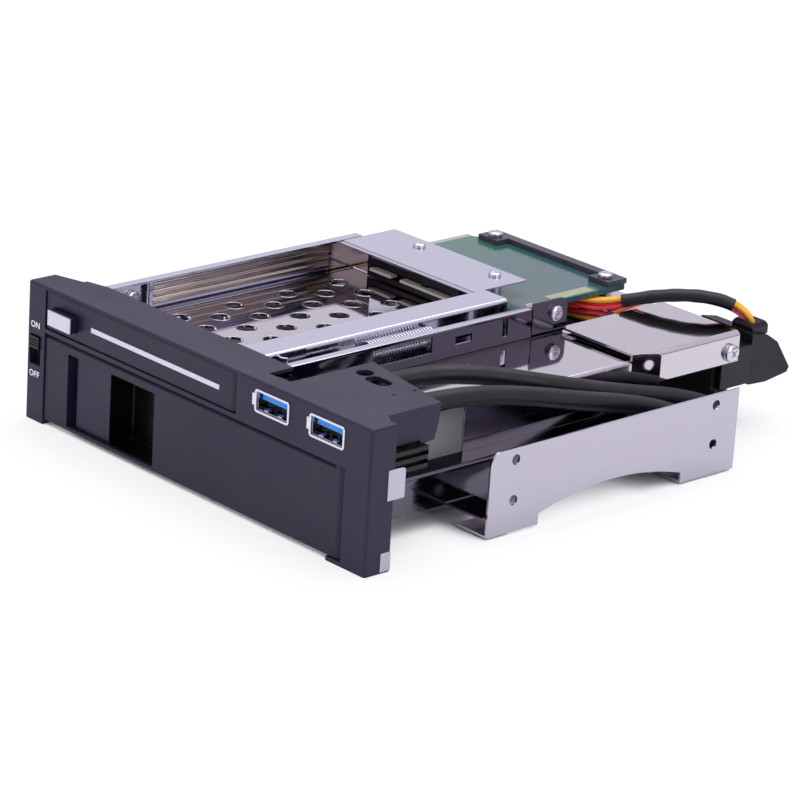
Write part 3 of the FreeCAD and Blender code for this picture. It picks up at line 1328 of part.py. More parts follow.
def power_lead():
    """Sleeved lead from the upper board's header to the angled plug in the inlet."""
    exit_x = (S.header_left + S.header_width).value
    middle_z = (S.plate_top + S.upper_board_low).value / 2
    tube("power_lead", [
        (exit_x, 142.0, middle_z), (7.6, 143.4, middle_z), (12.6, 146.6, 32.8),
        (17.5, 150.8, 34.2), (22.5, 155.0, 36.1), (27.5, 159.3, 37.4), (32.5, 163.5, 38.1),
        (37.4, 167.7, 38.0), (41.8, 171.5, 36.8), (45.0, 174.2, 34.4), (47.0, 175.9, 31.4),
        (48.0, 176.8, 28.4),
    ], S.sleeve_radius.value)
    plug = Piece("power_plug")
    front = lower_board_back + S.inlet_depth
    back = front + S.plug_depth
    low, high = S.inlet_low - 0.6, S.inlet_low + S.inlet_height + 3.2
    right = S.inlet_left + S.inlet_width
    side = [
        (front, low), (front, high), (front + 6.7, high - 1.4), (front + 11.3, high - 4.4),
        (back, low + 2.4), (back - 0.9, low + 0.9), (back - 10.2, low - 0.4),
    ]
    plug.pad("YZ", S.inlet_left, right, side)
    wall = 1.2 + S.part_gap
    plug.pad("XZ", front - S.plug_nose, front,
             rect(S.inlet_left + wall, right - wall, S.inlet_low + wall,
                  S.inlet_low + S.inlet_height - wall))
    plug.done()


def usb_cables():
    """Two cables from the ports' board to the rear, the hank behind and its header plug."""
    centre_z = (port_low + 3.2).value
    left_x, right_x = (S.port_x + 4.0).value, (port_right_x - 2.0).value
    start, thick = gland_back.value, S.cable_radius.value
    tube("usb_cable_right", [
        (right_x, start, centre_z), (55.3, 42.0, 36.4), (56.5, 58.0, 34.9),
        (58.4, 74.4, 31.9), (62.0, 89.6, 28.6), (62.9, 105.3, 25.1), (63.4, 118.0, 21.4),
        (63.8, 129.5, 16.8), (63.3, 140.0, 11.6), (61.2, 149.0, 8.0), (55.9, 157.2, 5.9),
        (47.6, 165.6, 4.0), (34.0, 173.5, 3.0), (22.0, 182.5, 3.0),
    ], thick)
    tube("usb_cable_left", [
        (left_x, start, centre_z), (38.4, 41.0, 37.0), (41.6, 54.5, 37.2), (47.0, 66.5, 36.2),
        (53.0, 78.2, 33.9), (56.0, 91.0, 30.6), (56.8, 105.0, 26.7), (57.2, 118.0, 23.4),
        (58.9, 129.5, 21.0), (61.2, 139.5, 18.1), (61.2, 149.0, 13.9), (55.9, 157.2, 11.7),
        (47.6, 165.6, 9.8), (34.0, 173.5, 8.8), (22.0, 182.5, 8.8),
    ], thick)
    hank = Piece("usb_hank")
    high, bulb, eye = S.hank_height, S.bulb_radius, S.bulb_radius - S.hank_band
    hank.pad("XY", 0, high, Ring(S.bulb_left_x, S.bulb_left_y, bulb))
    hank.pad("XY", 0, high, Ring(S.bulb_right_x, S.bulb_right_y, bulb))
    hank.pad("XY", 0, high, [
        (-75.0, 162.6), (-56.0, 163.0), (-41.0, 170.0), (-32.0, 174.0), (-22.0, 171.8),
        (-8.0, 164.0), (12.0, 184.0), (21.1, 179.7), (24.5, 184.1), (14.0, 193.0),
        (3.0, 197.4), (-13.0, 195.8), (-24.0, 192.3), (-36.0, 191.4), (-46.0, 194.4),
        (-60.0, 194.0), (-60.0, 172.0), (-75.0, 168.2)])
    hank.cut("XY", 0, high, Ring(S.bulb_left_x, S.bulb_left_y, eye),
             Ring(S.bulb_right_x, S.bulb_right_y, eye))
    hank.done()
    plug = Piece("usb_plug")
    back, front = S.plug_x + S.header_plug_depth, S.plug_x
    low, high = S.plug_y - S.header_plug_width / 2, S.plug_y + S.header_plug_width / 2
    plug.pad("YZ", front, back, rect(low, high, 0, S.header_plug_height))
    plug.cut("YZ", front, back - S.header_plug_depth / 2,
             rect(low + 1.2, high - 1.2, 1.2, S.header_plug_height - 1.2))
    plug.done()


for build in (bezel_frame, power_switch, door_35, latch_35, door_25, eject_button, usb_housing,
              usb_board, cage_35, cage_side_left, bay_25_left_wall, bay_25_right_wall,
              channel_wall, ejector_slider, ejector_spring, ejector_lever, lever_bracket,
              backplane_25, bay_25_cover, backplane_35, power_lead, usb_cables):
    build()
light_pipe("light_pipe_high", S.pipe_high)
light_pipe("light_pipe_low", S.pipe_low)
usb_port("left", S.port_x)
usb_port("right", port_right_x)
for side in ("right", "left"):
    guide_rail(side)
    drive_guide(side)
    side_bracket(side)
drive_socket("sata_receptacle_25", -S.upper_socket_left, S.socket_low, S.socket_front,
             S.upper_board_front - S.socket_front + 5.0, S.upper_board_front)


# ---------------------------------------------------------------- check and write
doc.recompute()
for item in doc.Objects:
    if "Invalid" in item.State or "Error" in item.State:
        raise RuntimeError("%s failed: %s" % (item.Name, item.State))
os.makedirs("parts", exist_ok=True)
for item in FINISHED:
    shape = item.Shape
    if shape.isNull() or not shape.isValid() or not shape.Solids:
        raise RuntimeError("%s has no sound shape" % item.Label)
    shape.exportStep("parts/%s.step" % item.Label)
    print("%-22s %2d solid(s) %9.1f mm3" % (item.Label, len(shape.Solids), shape.Volume))
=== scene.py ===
import math

import bmesh
import bpy
from mathutils import Matrix, Vector


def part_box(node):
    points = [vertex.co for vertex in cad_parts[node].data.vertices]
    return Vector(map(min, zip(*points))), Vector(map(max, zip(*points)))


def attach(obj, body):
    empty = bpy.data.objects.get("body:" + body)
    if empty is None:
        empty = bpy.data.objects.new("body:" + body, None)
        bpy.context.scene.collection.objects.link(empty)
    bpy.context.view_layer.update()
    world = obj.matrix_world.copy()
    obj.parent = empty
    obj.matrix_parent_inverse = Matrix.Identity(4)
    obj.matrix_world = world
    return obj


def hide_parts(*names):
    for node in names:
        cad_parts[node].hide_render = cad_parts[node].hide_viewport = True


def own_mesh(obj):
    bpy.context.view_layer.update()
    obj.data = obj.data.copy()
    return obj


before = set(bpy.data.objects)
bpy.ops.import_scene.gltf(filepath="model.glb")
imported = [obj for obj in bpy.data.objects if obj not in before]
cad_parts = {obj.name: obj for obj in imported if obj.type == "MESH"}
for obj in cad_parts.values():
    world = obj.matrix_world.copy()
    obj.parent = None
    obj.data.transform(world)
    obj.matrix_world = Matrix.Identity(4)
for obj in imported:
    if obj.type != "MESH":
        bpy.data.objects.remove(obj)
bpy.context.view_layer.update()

bpy.ops.object.select_all(action="DESELECT")


# The view: a long lens looks down on the cage from its front right corner, with
# the bezel at the left and the power lead and its plug at the right.
turn, rise, roll = math.radians(46.54), math.radians(19.83), math.radians(3.605)
backward = Vector((math.sin(turn) * math.cos(rise), -math.cos(turn) * math.cos(rise), math.sin(rise)))
sideways = Vector((math.cos(turn), math.sin(turn), 0))
upright = backward.cross(sideways)
across = sideways * math.cos(roll) + upright * math.sin(roll)
upward = upright * math.cos(roll) - sideways * math.sin(roll)
lens = bpy.data.cameras.new("studio_camera")
lens.sensor_width = 36
lens.lens = 175.34
lens.shift_x, lens.shift_y = 0.00125, 0.00749
lens.clip_start, lens.clip_end = 0.05, 20
camera = bpy.data.objects.new("studio_camera", lens)
camera.matrix_world = (Matrix.Translation(Vector((0.020, -0.0243, 0.020)) + backward * 1.09958)
                       @ Matrix((across, upward, backward)).transposed().to_4x4())
bpy.context.scene.collection.objects.link(camera)
bpy.context.scene.camera = camera


# The two USB cables: soft black PVC jackets, 5.6 mm thick. Each leaves its gland behind
# a port, drops between the rail and the right bracket, and turns in behind the cage,
# where the rest lies folded in a flat hank, one cable on the other, held by a tie.
def linear(code):
    """An sRGB hex colour as the linear colour that a shader takes."""
    parts = [int(code[i:i + 2], 16) / 255 for i in (1, 3, 5)]
    return tuple(p / 12.92 if p <= 0.04045 else ((p + 0.055) / 1.055) ** 2.4 for p in parts) + (1.0,)


def add(tree, kind, feeds={}, **settings):
    """Adds one shader node: its settings, and its sockets fed by a value or an output."""
    made = tree.nodes.new("ShaderNode" + kind)
    for name, value in settings.items():
        setattr(made, name, value)
    for socket, value in feeds.items():
        if isinstance(value, bpy.types.NodeSocket):
            tree.links.new(value, made.inputs[socket])
        else:
            made.inputs[socket].default_value = value
    return made


def finish(name, code, **values):
    """A new material: its colour and the sockets of its shader, with _ for a space."""
    made = bpy.data.materials.new(name)
    made.use_nodes = True
    shader = made.node_tree.nodes["Principled BSDF"]
    shader.inputs["Base Color"].default_value = linear(code)
    for socket, value in values.items():
        shader.inputs[socket.replace("_", " ")].default_value = value
    return made, made.node_tree, shader


def cord(name, points, radius, material, body="cage"):
    """A round cord: one smooth NURBS spline with these control points."""
    line = bpy.data.curves.new(name, "CURVE")
    line.dimensions, line.use_fill_caps = "3D", True
    line.bevel_depth, line.bevel_resolution, line.resolution_u = radius, 6, 10
    spline = line.splines.new("NURBS")
    spline.points.add(len(points) - 1)
    for place, point in zip(spline.points, points):
        place.co = (*point, 1)
    spline.order_u = 3
    spline.use_endpoint_u = True
    line.materials.append(material)
    piece = bpy.data.objects.new(name, line)
    bpy.context.scene.collection.objects.link(piece)
    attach(piece, body)
    return piece


# PVC jacket, extruded: a soft even sheen, and faint dull patches, about 6 mm across, where it
# was handled. Its skin is rough at 0.4 mm.
jacket, tree, shader = finish("pvc_jacket_extruded", "#0c0a14", Roughness=0.45, IOR=1.5,
                              Specular_IOR_Level=0.35)
here = add(tree, "TexCoord").outputs["Object"]
handled = add(tree, "TexNoise", {"Vector": here, "Scale": 160, "Detail": 3})
rough = add(tree, "MapRange", {"Value": handled.outputs[0], "From Min": 0.3, "From Max": 0.7,
                               "To Min": 0.36, "To Max": 0.55})
tree.links.new(rough.outputs[0], shader.inputs["Roughness"])
skin = add(tree, "TexNoise", {"Vector": here, "Scale": 2600, "Detail": 2})
tree.links.new(add(tree, "Bump", {"Height": skin.outputs[0], "Strength": 0.12, "Distance": 0.0001}
                   ).outputs[0], shader.inputs["Normal"])

hank = [
    (0.0220, 0.0982), (0.0125, 0.1067), (0.0010, 0.1109), (-0.0120, 0.1089), (-0.0230, 0.1053),
    (-0.0340, 0.1043), (-0.0450, 0.1073), (-0.0552, 0.1108), (-0.0648, 0.1108),
    (-0.0716, 0.1040), (-0.0716, 0.0944), (-0.0648, 0.0876), (-0.0552, 0.0876),
    (-0.0460, 0.0922), (-0.0360, 0.0973), (-0.0240, 0.0987), (-0.0120, 0.1003),
    (-0.0018, 0.1023), (0.0078, 0.1023), (0.0146, 0.0955), (0.0146, 0.0859), (0.0078, 0.0791),
    (-0.0018, 0.0791), (-0.0115, 0.0835), (-0.0220, 0.0903), (-0.0330, 0.0925),
    (-0.0440, 0.0869), (-0.0550, 0.0815), (-0.0660, 0.0811), (-0.0780, 0.0811),
]
right_route = [
    (0.0544, -0.0587, 0.0364), (0.0553, -0.0423, 0.0364), (0.0565, -0.0263, 0.0349),
    (0.0584, -0.0099, 0.0319), (0.0620, 0.0053, 0.0286), (0.0629, 0.0210, 0.0251),
    (0.0634, 0.0337, 0.0214), (0.0638, 0.0452, 0.0168), (0.0633, 0.0557, 0.0116),
    (0.0612, 0.0647, 0.0080), (0.0559, 0.0729, 0.0059), (0.0476, 0.0813, 0.0040),
    (0.0340, 0.0892, 0.0030),
]
left_route = [
    (0.0380, -0.0587, 0.0364), (0.0384, -0.0433, 0.0370), (0.0416, -0.0298, 0.0372),
    (0.0470, -0.0178, 0.0362), (0.0530, -0.0061, 0.0339), (0.0560, 0.0067, 0.0306),
    (0.0568, 0.0207, 0.0267), (0.0572, 0.0337, 0.0234), (0.0589, 0.0452, 0.0210),
    (0.0612, 0.0552, 0.0181), (0.0612, 0.0647, 0.0139), (0.0559, 0.0729, 0.0117),
    (0.0476, 0.0813, 0.0098), (0.0340, 0.0892, 0.0088),
]
for side, start, height in (("right", right_route, 0.0030), ("left", left_route, 0.0088)):
    cable = cord("usb_lead_" + side, start + [(x, y, height) for x, y in hank],
                 radius=0.0028, material=jacket)
    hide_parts("usb_cable_" + side, "usb_hank")


# The power lead: two yellow, two red, a blue, a salmon and a black wire from the header
# under the upper board. A flattened black sleeve holds them to just before the plug.
# The wires are soft PVC in plain colours, with a little more gloss than the cables.
def wire_skin(name, code):
    """The skin of one wire: PVC in one colour, with a gloss that wears in 2 mm patches."""
    made, tree, shader = finish(name, code, Roughness=0.32, IOR=1.5)
    here = add(tree, "TexCoord").outputs["Object"]
    worn = add(tree, "TexNoise", {"Vector": here, "Scale": 420, "Detail": 2})
    rough = add(tree, "MapRange", {"Value": worn.outputs[0], "To Min": 0.24, "To Max": 0.42})
    tree.links.new(rough.outputs[0], shader.inputs["Roughness"])
    return made


yellow = wire_skin("pvc_wire_yellow", "#e0a21c")
red = wire_skin("pvc_wire_red", "#d22b32")
salmon = wire_skin("pvc_wire_salmon", "#ee6a54")
blue = wire_skin("pvc_wire_blue", "#2d3c9c")
black = wire_skin("pvc_wire_black", "#17161b")

lead_route = [
    (0.0030, 0.0577, 0.0329), (0.0076, 0.0591, 0.0329), (0.0126, 0.0623, 0.0328),
    (0.0175, 0.0665, 0.0342), (0.0225, 0.0707, 0.0361), (0.0275, 0.0750, 0.0374),
    (0.0325, 0.0792, 0.0381), (0.0374, 0.0834, 0.0380), (0.0418, 0.0872, 0.0368),
    (0.0450, 0.0899, 0.0344), (0.0470, 0.0916, 0.0314), (0.0480, 0.0925, 0.0284),
]
# Each wire: its colour, then in millimetres its places across and above the lead, and how far
# it sags at first.
wires = [
    ("yellow_near", yellow, -0.7, 0.7, -0.3), ("yellow_far", yellow, 0.9, 0.8, -0.1),
    ("red_near", red, -0.9, -0.6, 0.8), ("red_far", red, 0.1, -0.2, 0.5),
    ("blue", blue, 0.4, -0.9, 2.1), ("salmon", salmon, -0.6, -1.0, 2.9),
    ("black", black, 1.1, -0.3, 0.3),
]
aside = Vector((-0.65, 0.76, 0)) * 0.001
for name, colour, off, lift, sag in wires:
    points = []
    for count, point in enumerate(lead_route):
        spread = 1.9 if count < 2 else 1.0
        drop = {1: 0.55, 2: 1.0, 3: 0.5}.get(count, 0) * sag
        # Near the plug the others gather under the two yellow wires.
        if count > 6 and not name.startswith("yellow"):
            spread, drop = 0, 0.4
        points.append(Vector(point) + aside * off * spread + Vector((0, 0, 0.001 * (lift - drop))))
    wire = cord("wire_" + name, points, radius=0.00068, material=colour)
    if name == "yellow_near":
        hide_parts("power_lead")

# The sleeve follows the lead's own line, as an oval tube with open, slightly flared mouths. It
# starts 17 mm along X, past the header, and ends where the lead turns down into the plug.
guide = cord("sleeve_line", lead_route, 0, jacket)
bpy.context.view_layer.update()
traced = bpy.data.meshes.new_from_object(guide.evaluated_get(bpy.context.evaluated_depsgraph_get()))
track = [vertex.co.copy() for vertex in traced.vertices]
bpy.data.objects.remove(guide)
bpy.data.meshes.remove(traced)
track = [point for point in track if 0.0172 < point.x and (point.x < 0.0425 or point.z > 0.0364)]
half_width, half_height, flare, ripple, sides = 0.00235, 0.00190, 0.00012, 0.000066, 20
sleeve_mesh = bpy.data.meshes.new("lead_sleeve")
shape = bmesh.new()
hoops = []
for count, point in enumerate(track):
    ahead = (track[min(count + 1, len(track) - 1)] - track[max(count - 1, 0)]).normalized()
    level = ahead.cross(Vector((0, 0, 1))).normalized()
    above = level.cross(ahead)
    end = min(count, len(track) - 1 - count) / 4
    wide = half_width + flare * max(0, 1 - end) ** 2
    tall = half_height + ripple * math.sin(count * 0.55)
    hoops.append([shape.verts.new(point + level * wide * math.cos(a) + above * tall * math.sin(a))
                  for a in [math.radians(360 / sides * i) for i in range(sides)]])
for one, two in zip(hoops, hoops[1:]):
    for i in range(sides):
        after = (i + 1) % sides
        shape.faces.new((one[i], two[i], two[after], one[after]))
bmesh.ops.recalc_face_normals(shape, faces=shape.faces[:])
shape.to_mesh(sleeve_mesh)
shape.free()
sleeve = bpy.data.objects.new("lead_sleeve", sleeve_mesh)
bpy.context.scene.collection.objects.link(sleeve)
sleeve_mesh.materials.append(jacket)
wall = sleeve.modifiers.new("wall", "SOLIDIFY")
wall.thickness, wall.offset = 0.0003, -1
for face in sleeve_mesh.polygons:
    face.use_smooth = True
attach(sleeve, "cage")


# The bezel, the ports' hood and both doors: black ABS, injection moulded with a fine
# spark-eroded grain. The grain breaks the light up evenly, and edges are slightly soft.
def moulded(name, code, rough, grain=1700, depth=0.00005):
    """A moulded plastic: its colour, its gloss, and how fine and deep its grain is."""
    made, tree, shader = finish(name, code, Roughness=rough, IOR=1.53, Specular_IOR_Level=0.27)
    here = add(tree, "TexCoord").outputs["Object"]
    # The real grain is about 0.1 mm. It is drawn at 0.6 mm, so that it shows at all.
    spark = add(tree, "TexNoise", {"Vector": here, "Scale": grain, "Detail": 2})
    # Where the melt flowed, the gloss drifts over about 20 mm.
    flow = add(tree, "TexNoise", {"Vector": here, "Scale": 45, "Detail": 3})
    shine = add(tree, "MapRange", {"Value": flow.outputs[0], "From Min": 0.3, "From Max": 0.7,
                                   "To Min": rough - 0.06, "To Max": rough + 0.06})
    tree.links.new(shine.outputs[0], shader.inputs["Roughness"])
    soft = add(tree, "Bevel", {"Radius": 0.00035}, samples=4)
    bump = add(tree, "Bump", {"Height": spark.outputs[0], "Strength": 0.25, "Distance": depth,
                              "Normal": soft.outputs[0]})
    tree.links.new(bump.outputs[0], shader.inputs["Normal"])
    return made


def dress(material, *names):
    """Gives CAD nodes their material."""
    for name in names:
        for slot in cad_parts[name].material_slots:
            slot.material = material


dress(moulded("abs_moulded_spark_grain", "#1f1c34", 0.42), "bezel_frame", "usb_housing")
dress(moulded("abs_moulded_fine_grain", "#1c1a31", 0.4), "door_35", "door_25", "eject_button")
dress(moulded("abs_moulded_satin", "#211f38", 0.36), "latch_35")
dress(moulded("abs_moulded_gloss", "#0f0e13", 0.25, 1500, 0.00002), "power_switch",
      "power_switch_knob")
# The light pipes are unlit, so the smoked acrylic looks almost black.
dress(moulded("acrylic_smoked", "#1d1b24", 0.18, 1500, 0.00001), "light_pipe_high",
      "light_pipe_low")


# A glossy near-black liner lines the lower door's recess, beside the latch. It is painted shade:
# the recess is in shadow, and the liner makes it so dark and deep that it looks like an opening.
shade_liner_wide, shade_liner_deep, shade_liner_tall = 0.0200, 0.0087, 0.0216
low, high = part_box("latch_35")
bpy.ops.mesh.primitive_cube_add(size=1, location=(
    high.x + 0.0005 + shade_liner_wide / 2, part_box("door_35")[0].y + 0.0004 + shade_liner_deep / 2,
    (low.z + high.z) / 2))
shade_liner = bpy.context.active_object
bpy.ops.transform.resize(value=(shade_liner_wide, shade_liner_deep, shade_liner_tall))
bpy.ops.object.transform_apply(location=True, rotation=True, scale=True)
bpy.ops.object.mode_set(mode="EDIT")


def pick(piece, kind, test):
    """Selects, in edit mode, only the faces, edges or vertices that pass a test."""
    bpy.ops.mesh.select_mode(type=kind)
    bpy.ops.mesh.select_all(action="DESELECT")
    bpy.ops.object.mode_set(mode="OBJECT")
    items = {"FACE": piece.data.polygons, "EDGE": piece.data.edges, "VERT": piece.data.vertices}
    for item in items[kind]:
        item.select = test(item)
    bpy.ops.object.mode_set(mode="EDIT")


def apply(piece, kind, **settings):
    """Adds a modifier with its settings and applies it."""
    bpy.context.view_layer.objects.active = piece
    made = piece.modifiers.new(kind.lower(), kind)
    for name, value in settings.items():
        setattr(made, name, value)
    bpy.ops.object.modifier_apply(modifier=made.name)


def settle(name, material, slot, body="cage", *stands_for):
    """Names the active piece, settles its place in its mesh, and fixes it to its body."""
    piece = bpy.context.active_object
    bpy.ops.object.transform_apply(location=True, rotation=True, scale=True)
    piece.name = piece.data.name = name
    piece.data.materials.clear()
    piece.data.materials.append(material)
    bpy.ops.object.select_all(action="DESELECT")
    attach(piece, body)
    if stands_for:
        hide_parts(*stands_for)
    return piece


pick(shade_liner, "FACE", lambda face: face.normal.y < -0.9)
bpy.ops.mesh.delete(type="FACE")
bpy.ops.object.mode_set(mode="OBJECT")
apply(shade_liner, "BEVEL", width=0.0006, segments=3, limit_method="ANGLE")
apply(shade_liner, "SOLIDIFY", thickness=0.00015, offset=-1)
# The liner's near-black colour is painted shade in the recess.
settle("recess_painted_shade", moulded("abs_painted_shade_black", "#060508", 0.3, 1500, 0.00002),
       "door_plastic", "door_35")


# The words beside the power switch: white ink, pad printed on the bezel's face above
# and below the slot. The ink is thin and slightly matt, and uneven at 0.4 mm.
ink, tree, shader = finish("pad_print_ink_white", "#e4e2ea", Roughness=0.55)
worn = add(tree, "TexNoise", {"Vector": add(tree, "TexCoord").outputs["Object"], "Scale": 2500})
shade = add(tree, "MapRange", {"Value": worn.outputs[0], "To Min": 0.45, "To Max": 0.7})
tree.links.new(shade.outputs[0], shader.inputs["Roughness"])
bezel_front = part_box("bezel_frame")[0].y

letter_size, ink_thick, slot_middle = 0.0026, 0.00003, -0.07025
low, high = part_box("power_switch")
for word, height in (("ON", high.z + 0.00305), ("OFF", low.z - 0.00295)):
    bpy.ops.object.text_add(location=(slot_middle, bezel_front - 0.00004, height),
                            rotation=(math.radians(90), 0, 0))
    letters = bpy.context.active_object
    letters.data.body, letters.data.size = word, letter_size
    letters.data.align_x, letters.data.align_y = "CENTER", "CENTER"
    letters.data.extrude, letters.data.space_character = ink_thick, 1.05
    letters.data.offset = 0.00004
    bpy.ops.object.convert(target="MESH")
    settle("word_" + word.lower(), ink, "bezel_plastic")


# The strip across the upper door is a pale pearl acrylic inlay, cloudy over about 4 mm. The
# eject button has a satin anodised face, brushed along its length in lines 0.1 mm apart.
# Both are bright against the black door.
pearl, tree, shader = finish("acrylic_pearl_inlay", "#d4d1e2", Roughness=0.3, IOR=1.49)
milky = add(tree, "TexNoise", {"Vector": add(tree, "TexCoord").outputs["Object"], "Scale": 260})
tone = add(tree, "MixRGB", {"Fac": milky.outputs[0], "Color1": linear("#dad7e6"),
                            "Color2": linear("#cbc8da")})
tree.links.new(tone.outputs[0], shader.inputs["Base Color"])
dress(pearl, "door_25_trim")
satin, tree, shader = finish("aluminium_satin_anodised", "#cfcdd8", Metallic=0.75, Roughness=0.36)
here = add(tree, "TexCoord").outputs["Object"]
long = add(tree, "Mapping", {"Vector": here, "Scale": (1, 20, 20)})
lines = add(tree, "TexNoise", {"Vector": long.outputs[0], "Scale": 400, "Detail": 3})
shine = add(tree, "MapRange", {"Value": lines.outputs[0], "To Min": 0.28, "To Max": 0.46})
tree.links.new(shine.outputs[0], shader.inputs["Roughness"])
dress(satin, "eject_button_face")


# The sheet metal: stainless steel for the cage, mirror bright from the roll, nickel-plated
# steel for the rails and the ejector, and zinc-plated steel for the brackets and the cover.
# All mirror what is around them.
def sheet_metal(name, code, rough, wave, along=(1, 0.08, 1)):
    """A bright sheet: faint rolling lines 1 mm wide, and a soft wave from the press, 20 mm long."""
    made, tree, shader = finish(name, code, Metallic=1.0, Roughness=rough)
    here = add(tree, "TexCoord").outputs["Object"]
    drawn = add(tree, "Mapping", {"Vector": here, "Scale": along})
    rolled = add(tree, "TexNoise", {"Vector": drawn.outputs[0], "Scale": 900, "Detail": 3})
    shine = add(tree, "MapRange", {"Value": rolled.outputs[0], "From Min": 0.3, "From Max": 0.7,
                                   "To Min": rough * 0.7, "To Max": rough * 1.5})
    tree.links.new(shine.outputs[0], shader.inputs["Roughness"])
    pressed = add(tree, "TexNoise", {"Vector": here, "Scale": 55, "Detail": 1})
    soft = add(tree, "Bevel", {"Radius": 0.00015}, samples=4)
    bump = add(tree, "Bump", {"Height": pressed.outputs[0], "Strength": wave, "Distance": 0.0012,
                              "Normal": soft.outputs[0]})
    tree.links.new(bump.outputs[0], shader.inputs["Normal"])
    return made


mirror_steel = sheet_metal("stainless_sheet_mirror", "#c3bdc6", 0.05, 0.06)
zinc = sheet_metal("steel_sheet_zinc_plated", "#cbc9db", 0.15, 0.05)
dull_zinc = sheet_metal("steel_sheet_zinc_dull", "#b6b2be", 0.19, 0.05)
smoky = sheet_metal("steel_sheet_smoky_nickel", "#625e6a", 0.1, 0.08)
plain_steel = sheet_metal("steel_turned_bright", "#c9c6cf", 0.2, 0.02, (1, 1, 1))
dress(mirror_steel, "cage_35", "cage_side_left", "drive_guide_right", "drive_guide_left")
dress(zinc, "bay_25_left_wall", "bay_25_right_wall", "bay_25_cover")
dress(dull_zinc, "side_bracket_right", "side_bracket_left")
dress(smoky, "lever_bracket", "ejector_slider", "guide_rail_right", "guide_rail_left")
dress(plain_steel, "ejector_lever", "lever_pin", "door_35_pin", "door_25_pin", "latch_35_pin",
      "board_spacer_left", "board_spacer_right")


# Two plated clips hold the bezel: a tall one over its right side, whose top corner is
# rounded, and a small one at its foot. Each is a flat blank of zinc-plated spring steel.
side_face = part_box("bezel_frame")[1].x
clip_thick = 0.0002
for name, near, far, bottom, top, corner in (
        ("bezel_clip_high", 0.0066, 0.0127, 0.0204, 0.0291, 0.0012),
        ("bezel_clip_low", 0.0054, 0.0090, 0.0004, 0.0058, 0.0003)):
    bpy.ops.mesh.primitive_plane_add(size=1, location=(0, 0, 0))
    clip = bpy.context.active_object
    clip.rotation_euler = (0, math.radians(90), 0)
    clip.scale = (top - bottom, far - near, 1)
    clip.location = (side_face + clip_thick / 2, bezel_front + (near + far) / 2,
                     (bottom + top) / 2)
    bpy.ops.object.transform_apply(location=True, rotation=True, scale=True)
    bpy.ops.object.mode_set(mode="EDIT")
    pick(clip, "VERT", lambda v: v.co.z > top - 0.0001 and v.co.y > bezel_front + far - 0.0001)
    bpy.ops.mesh.bevel(offset=corner, affect="VERTICES", segments=5)
    bpy.ops.object.mode_set(mode="OBJECT")
    apply(clip, "SOLIDIFY", thickness=clip_thick, offset=0)
    apply(clip, "BEVEL", width=0.00005, segments=2, limit_method="ANGLE")
    settle(name, dull_zinc, "zinc_sheet")


# The vents: round holes punched in the cage's roof from above, staggered row by row. Each
# has a low rolled rim, which catches the light. One rim is shaped, then copied.
bpy.ops.mesh.primitive_torus_add(major_segments=32, minor_segments=8, major_radius=0.00305,
                                 minor_radius=0.00014, location=(0, 0, 0))
rim = bpy.context.active_object
bpy.ops.object.mode_set(mode="EDIT")
bpy.ops.transform.resize(value=(1, 1, 0.7))
bpy.ops.object.mode_set(mode="OBJECT")
bpy.ops.object.shade_smooth()
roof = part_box("bay_25_right_wall")[0].z
first_x, first_y, pitch_across, pitch_along = -0.0484, -0.0485, 0.0117, 0.01015
rims = []
for row in range(7):
    for column in range(5):
        copy = bpy.data.objects.new("rim", rim.data.copy())
        copy.data.transform(Matrix.Translation((
            first_x + pitch_across * (column + 0.5 * (row % 2)), first_y + pitch_along * row, roof)))
        bpy.context.scene.collection.objects.link(copy)
        rims.append(copy)
bpy.data.objects.remove(rim)
bpy.ops.object.select_all(action="DESELECT")
for copy in rims:
    copy.select_set(True)
bpy.context.view_layer.objects.active = rims[0]
bpy.ops.object.join()
settle("vent_rims", mirror_steel, "polished_sheet")


# The upper bay's left wall has a thin stainless liner with long rolled ribs, which the
# drive slides along. It is clipped at its front to a bright post. Its folds show as
# bands of light and dark.
warm = sheet_metal("stainless_liner_warm", "#a89b96", 0.2, 0.02, (1, 0.02, 1))
low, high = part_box("bay_liner")
middle = (low + high) / 2
bpy.ops.mesh.primitive_grid_add(x_subdivisions=12, y_subdivisions=1, size=1, location=(0, 0, 0))
liner = bpy.context.active_object
liner.scale = (high.z - low.z, high.y - low.y, 1)
bpy.ops.object.transform_apply(location=False, rotation=False, scale=True)
bpy.ops.object.mode_set(mode="EDIT")
strip, rib_depth = (high.z - low.z) / 12, 0.0006
for start in (1.5, 5.5, 9.5):
    pick(liner, "VERT", lambda v: start < v.co.x / strip + 6 < start + 1.9)
    bpy.ops.transform.translate(value=(0, 0, rib_depth))
bpy.ops.object.mode_set(mode="OBJECT")
liner.rotation_euler = (0, math.radians(90), 0)
liner.location = (low.x, middle.y, middle.z)
bpy.ops.object.transform_apply(location=True, rotation=True, scale=True)
apply(liner, "SOLIDIFY", thickness=0.0003, offset=1)
apply(liner, "BEVEL", width=0.0002, segments=2, limit_method="ANGLE")
bpy.ops.object.shade_smooth_by_angle(angle=math.radians(40))
settle("liner_ribbed", warm, "zinc_sheet", "cage", "bay_liner")

# A plate closes the bay's rear left corner, beside the socket. It is one bent blank of
# stainless steel, a little warmer in tone than the liner.
plate_wide, plate_tall, plate_deep = 0.0096, 0.0094, 0.0094
plate_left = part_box("sata_receptacle_25")[0].x - plate_wide
wall_low, wall_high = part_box("bay_25_left_wall")
bpy.ops.mesh.primitive_plane_add(size=1, location=(0, 0, 0))
plate = bpy.context.active_object
plate.rotation_euler = (math.radians(90), 0, 0)
plate.scale = (plate_wide, plate_tall, 1)
plate.location = (plate_left + plate_wide / 2, wall_high.y - 0.0015,
                  wall_low.z + 0.0002 + plate_tall / 2)
bpy.ops.object.transform_apply(location=True, rotation=True, scale=True)
bpy.ops.object.mode_set(mode="EDIT")
pick(plate, "EDGE", lambda edge: all(plate.data.vertices[i].co.x < plate_left + 0.0001
                                     for i in edge.vertices))
bpy.ops.mesh.extrude_region_move(TRANSFORM_OT_translate={"value": (0, -plate_deep, 0)})
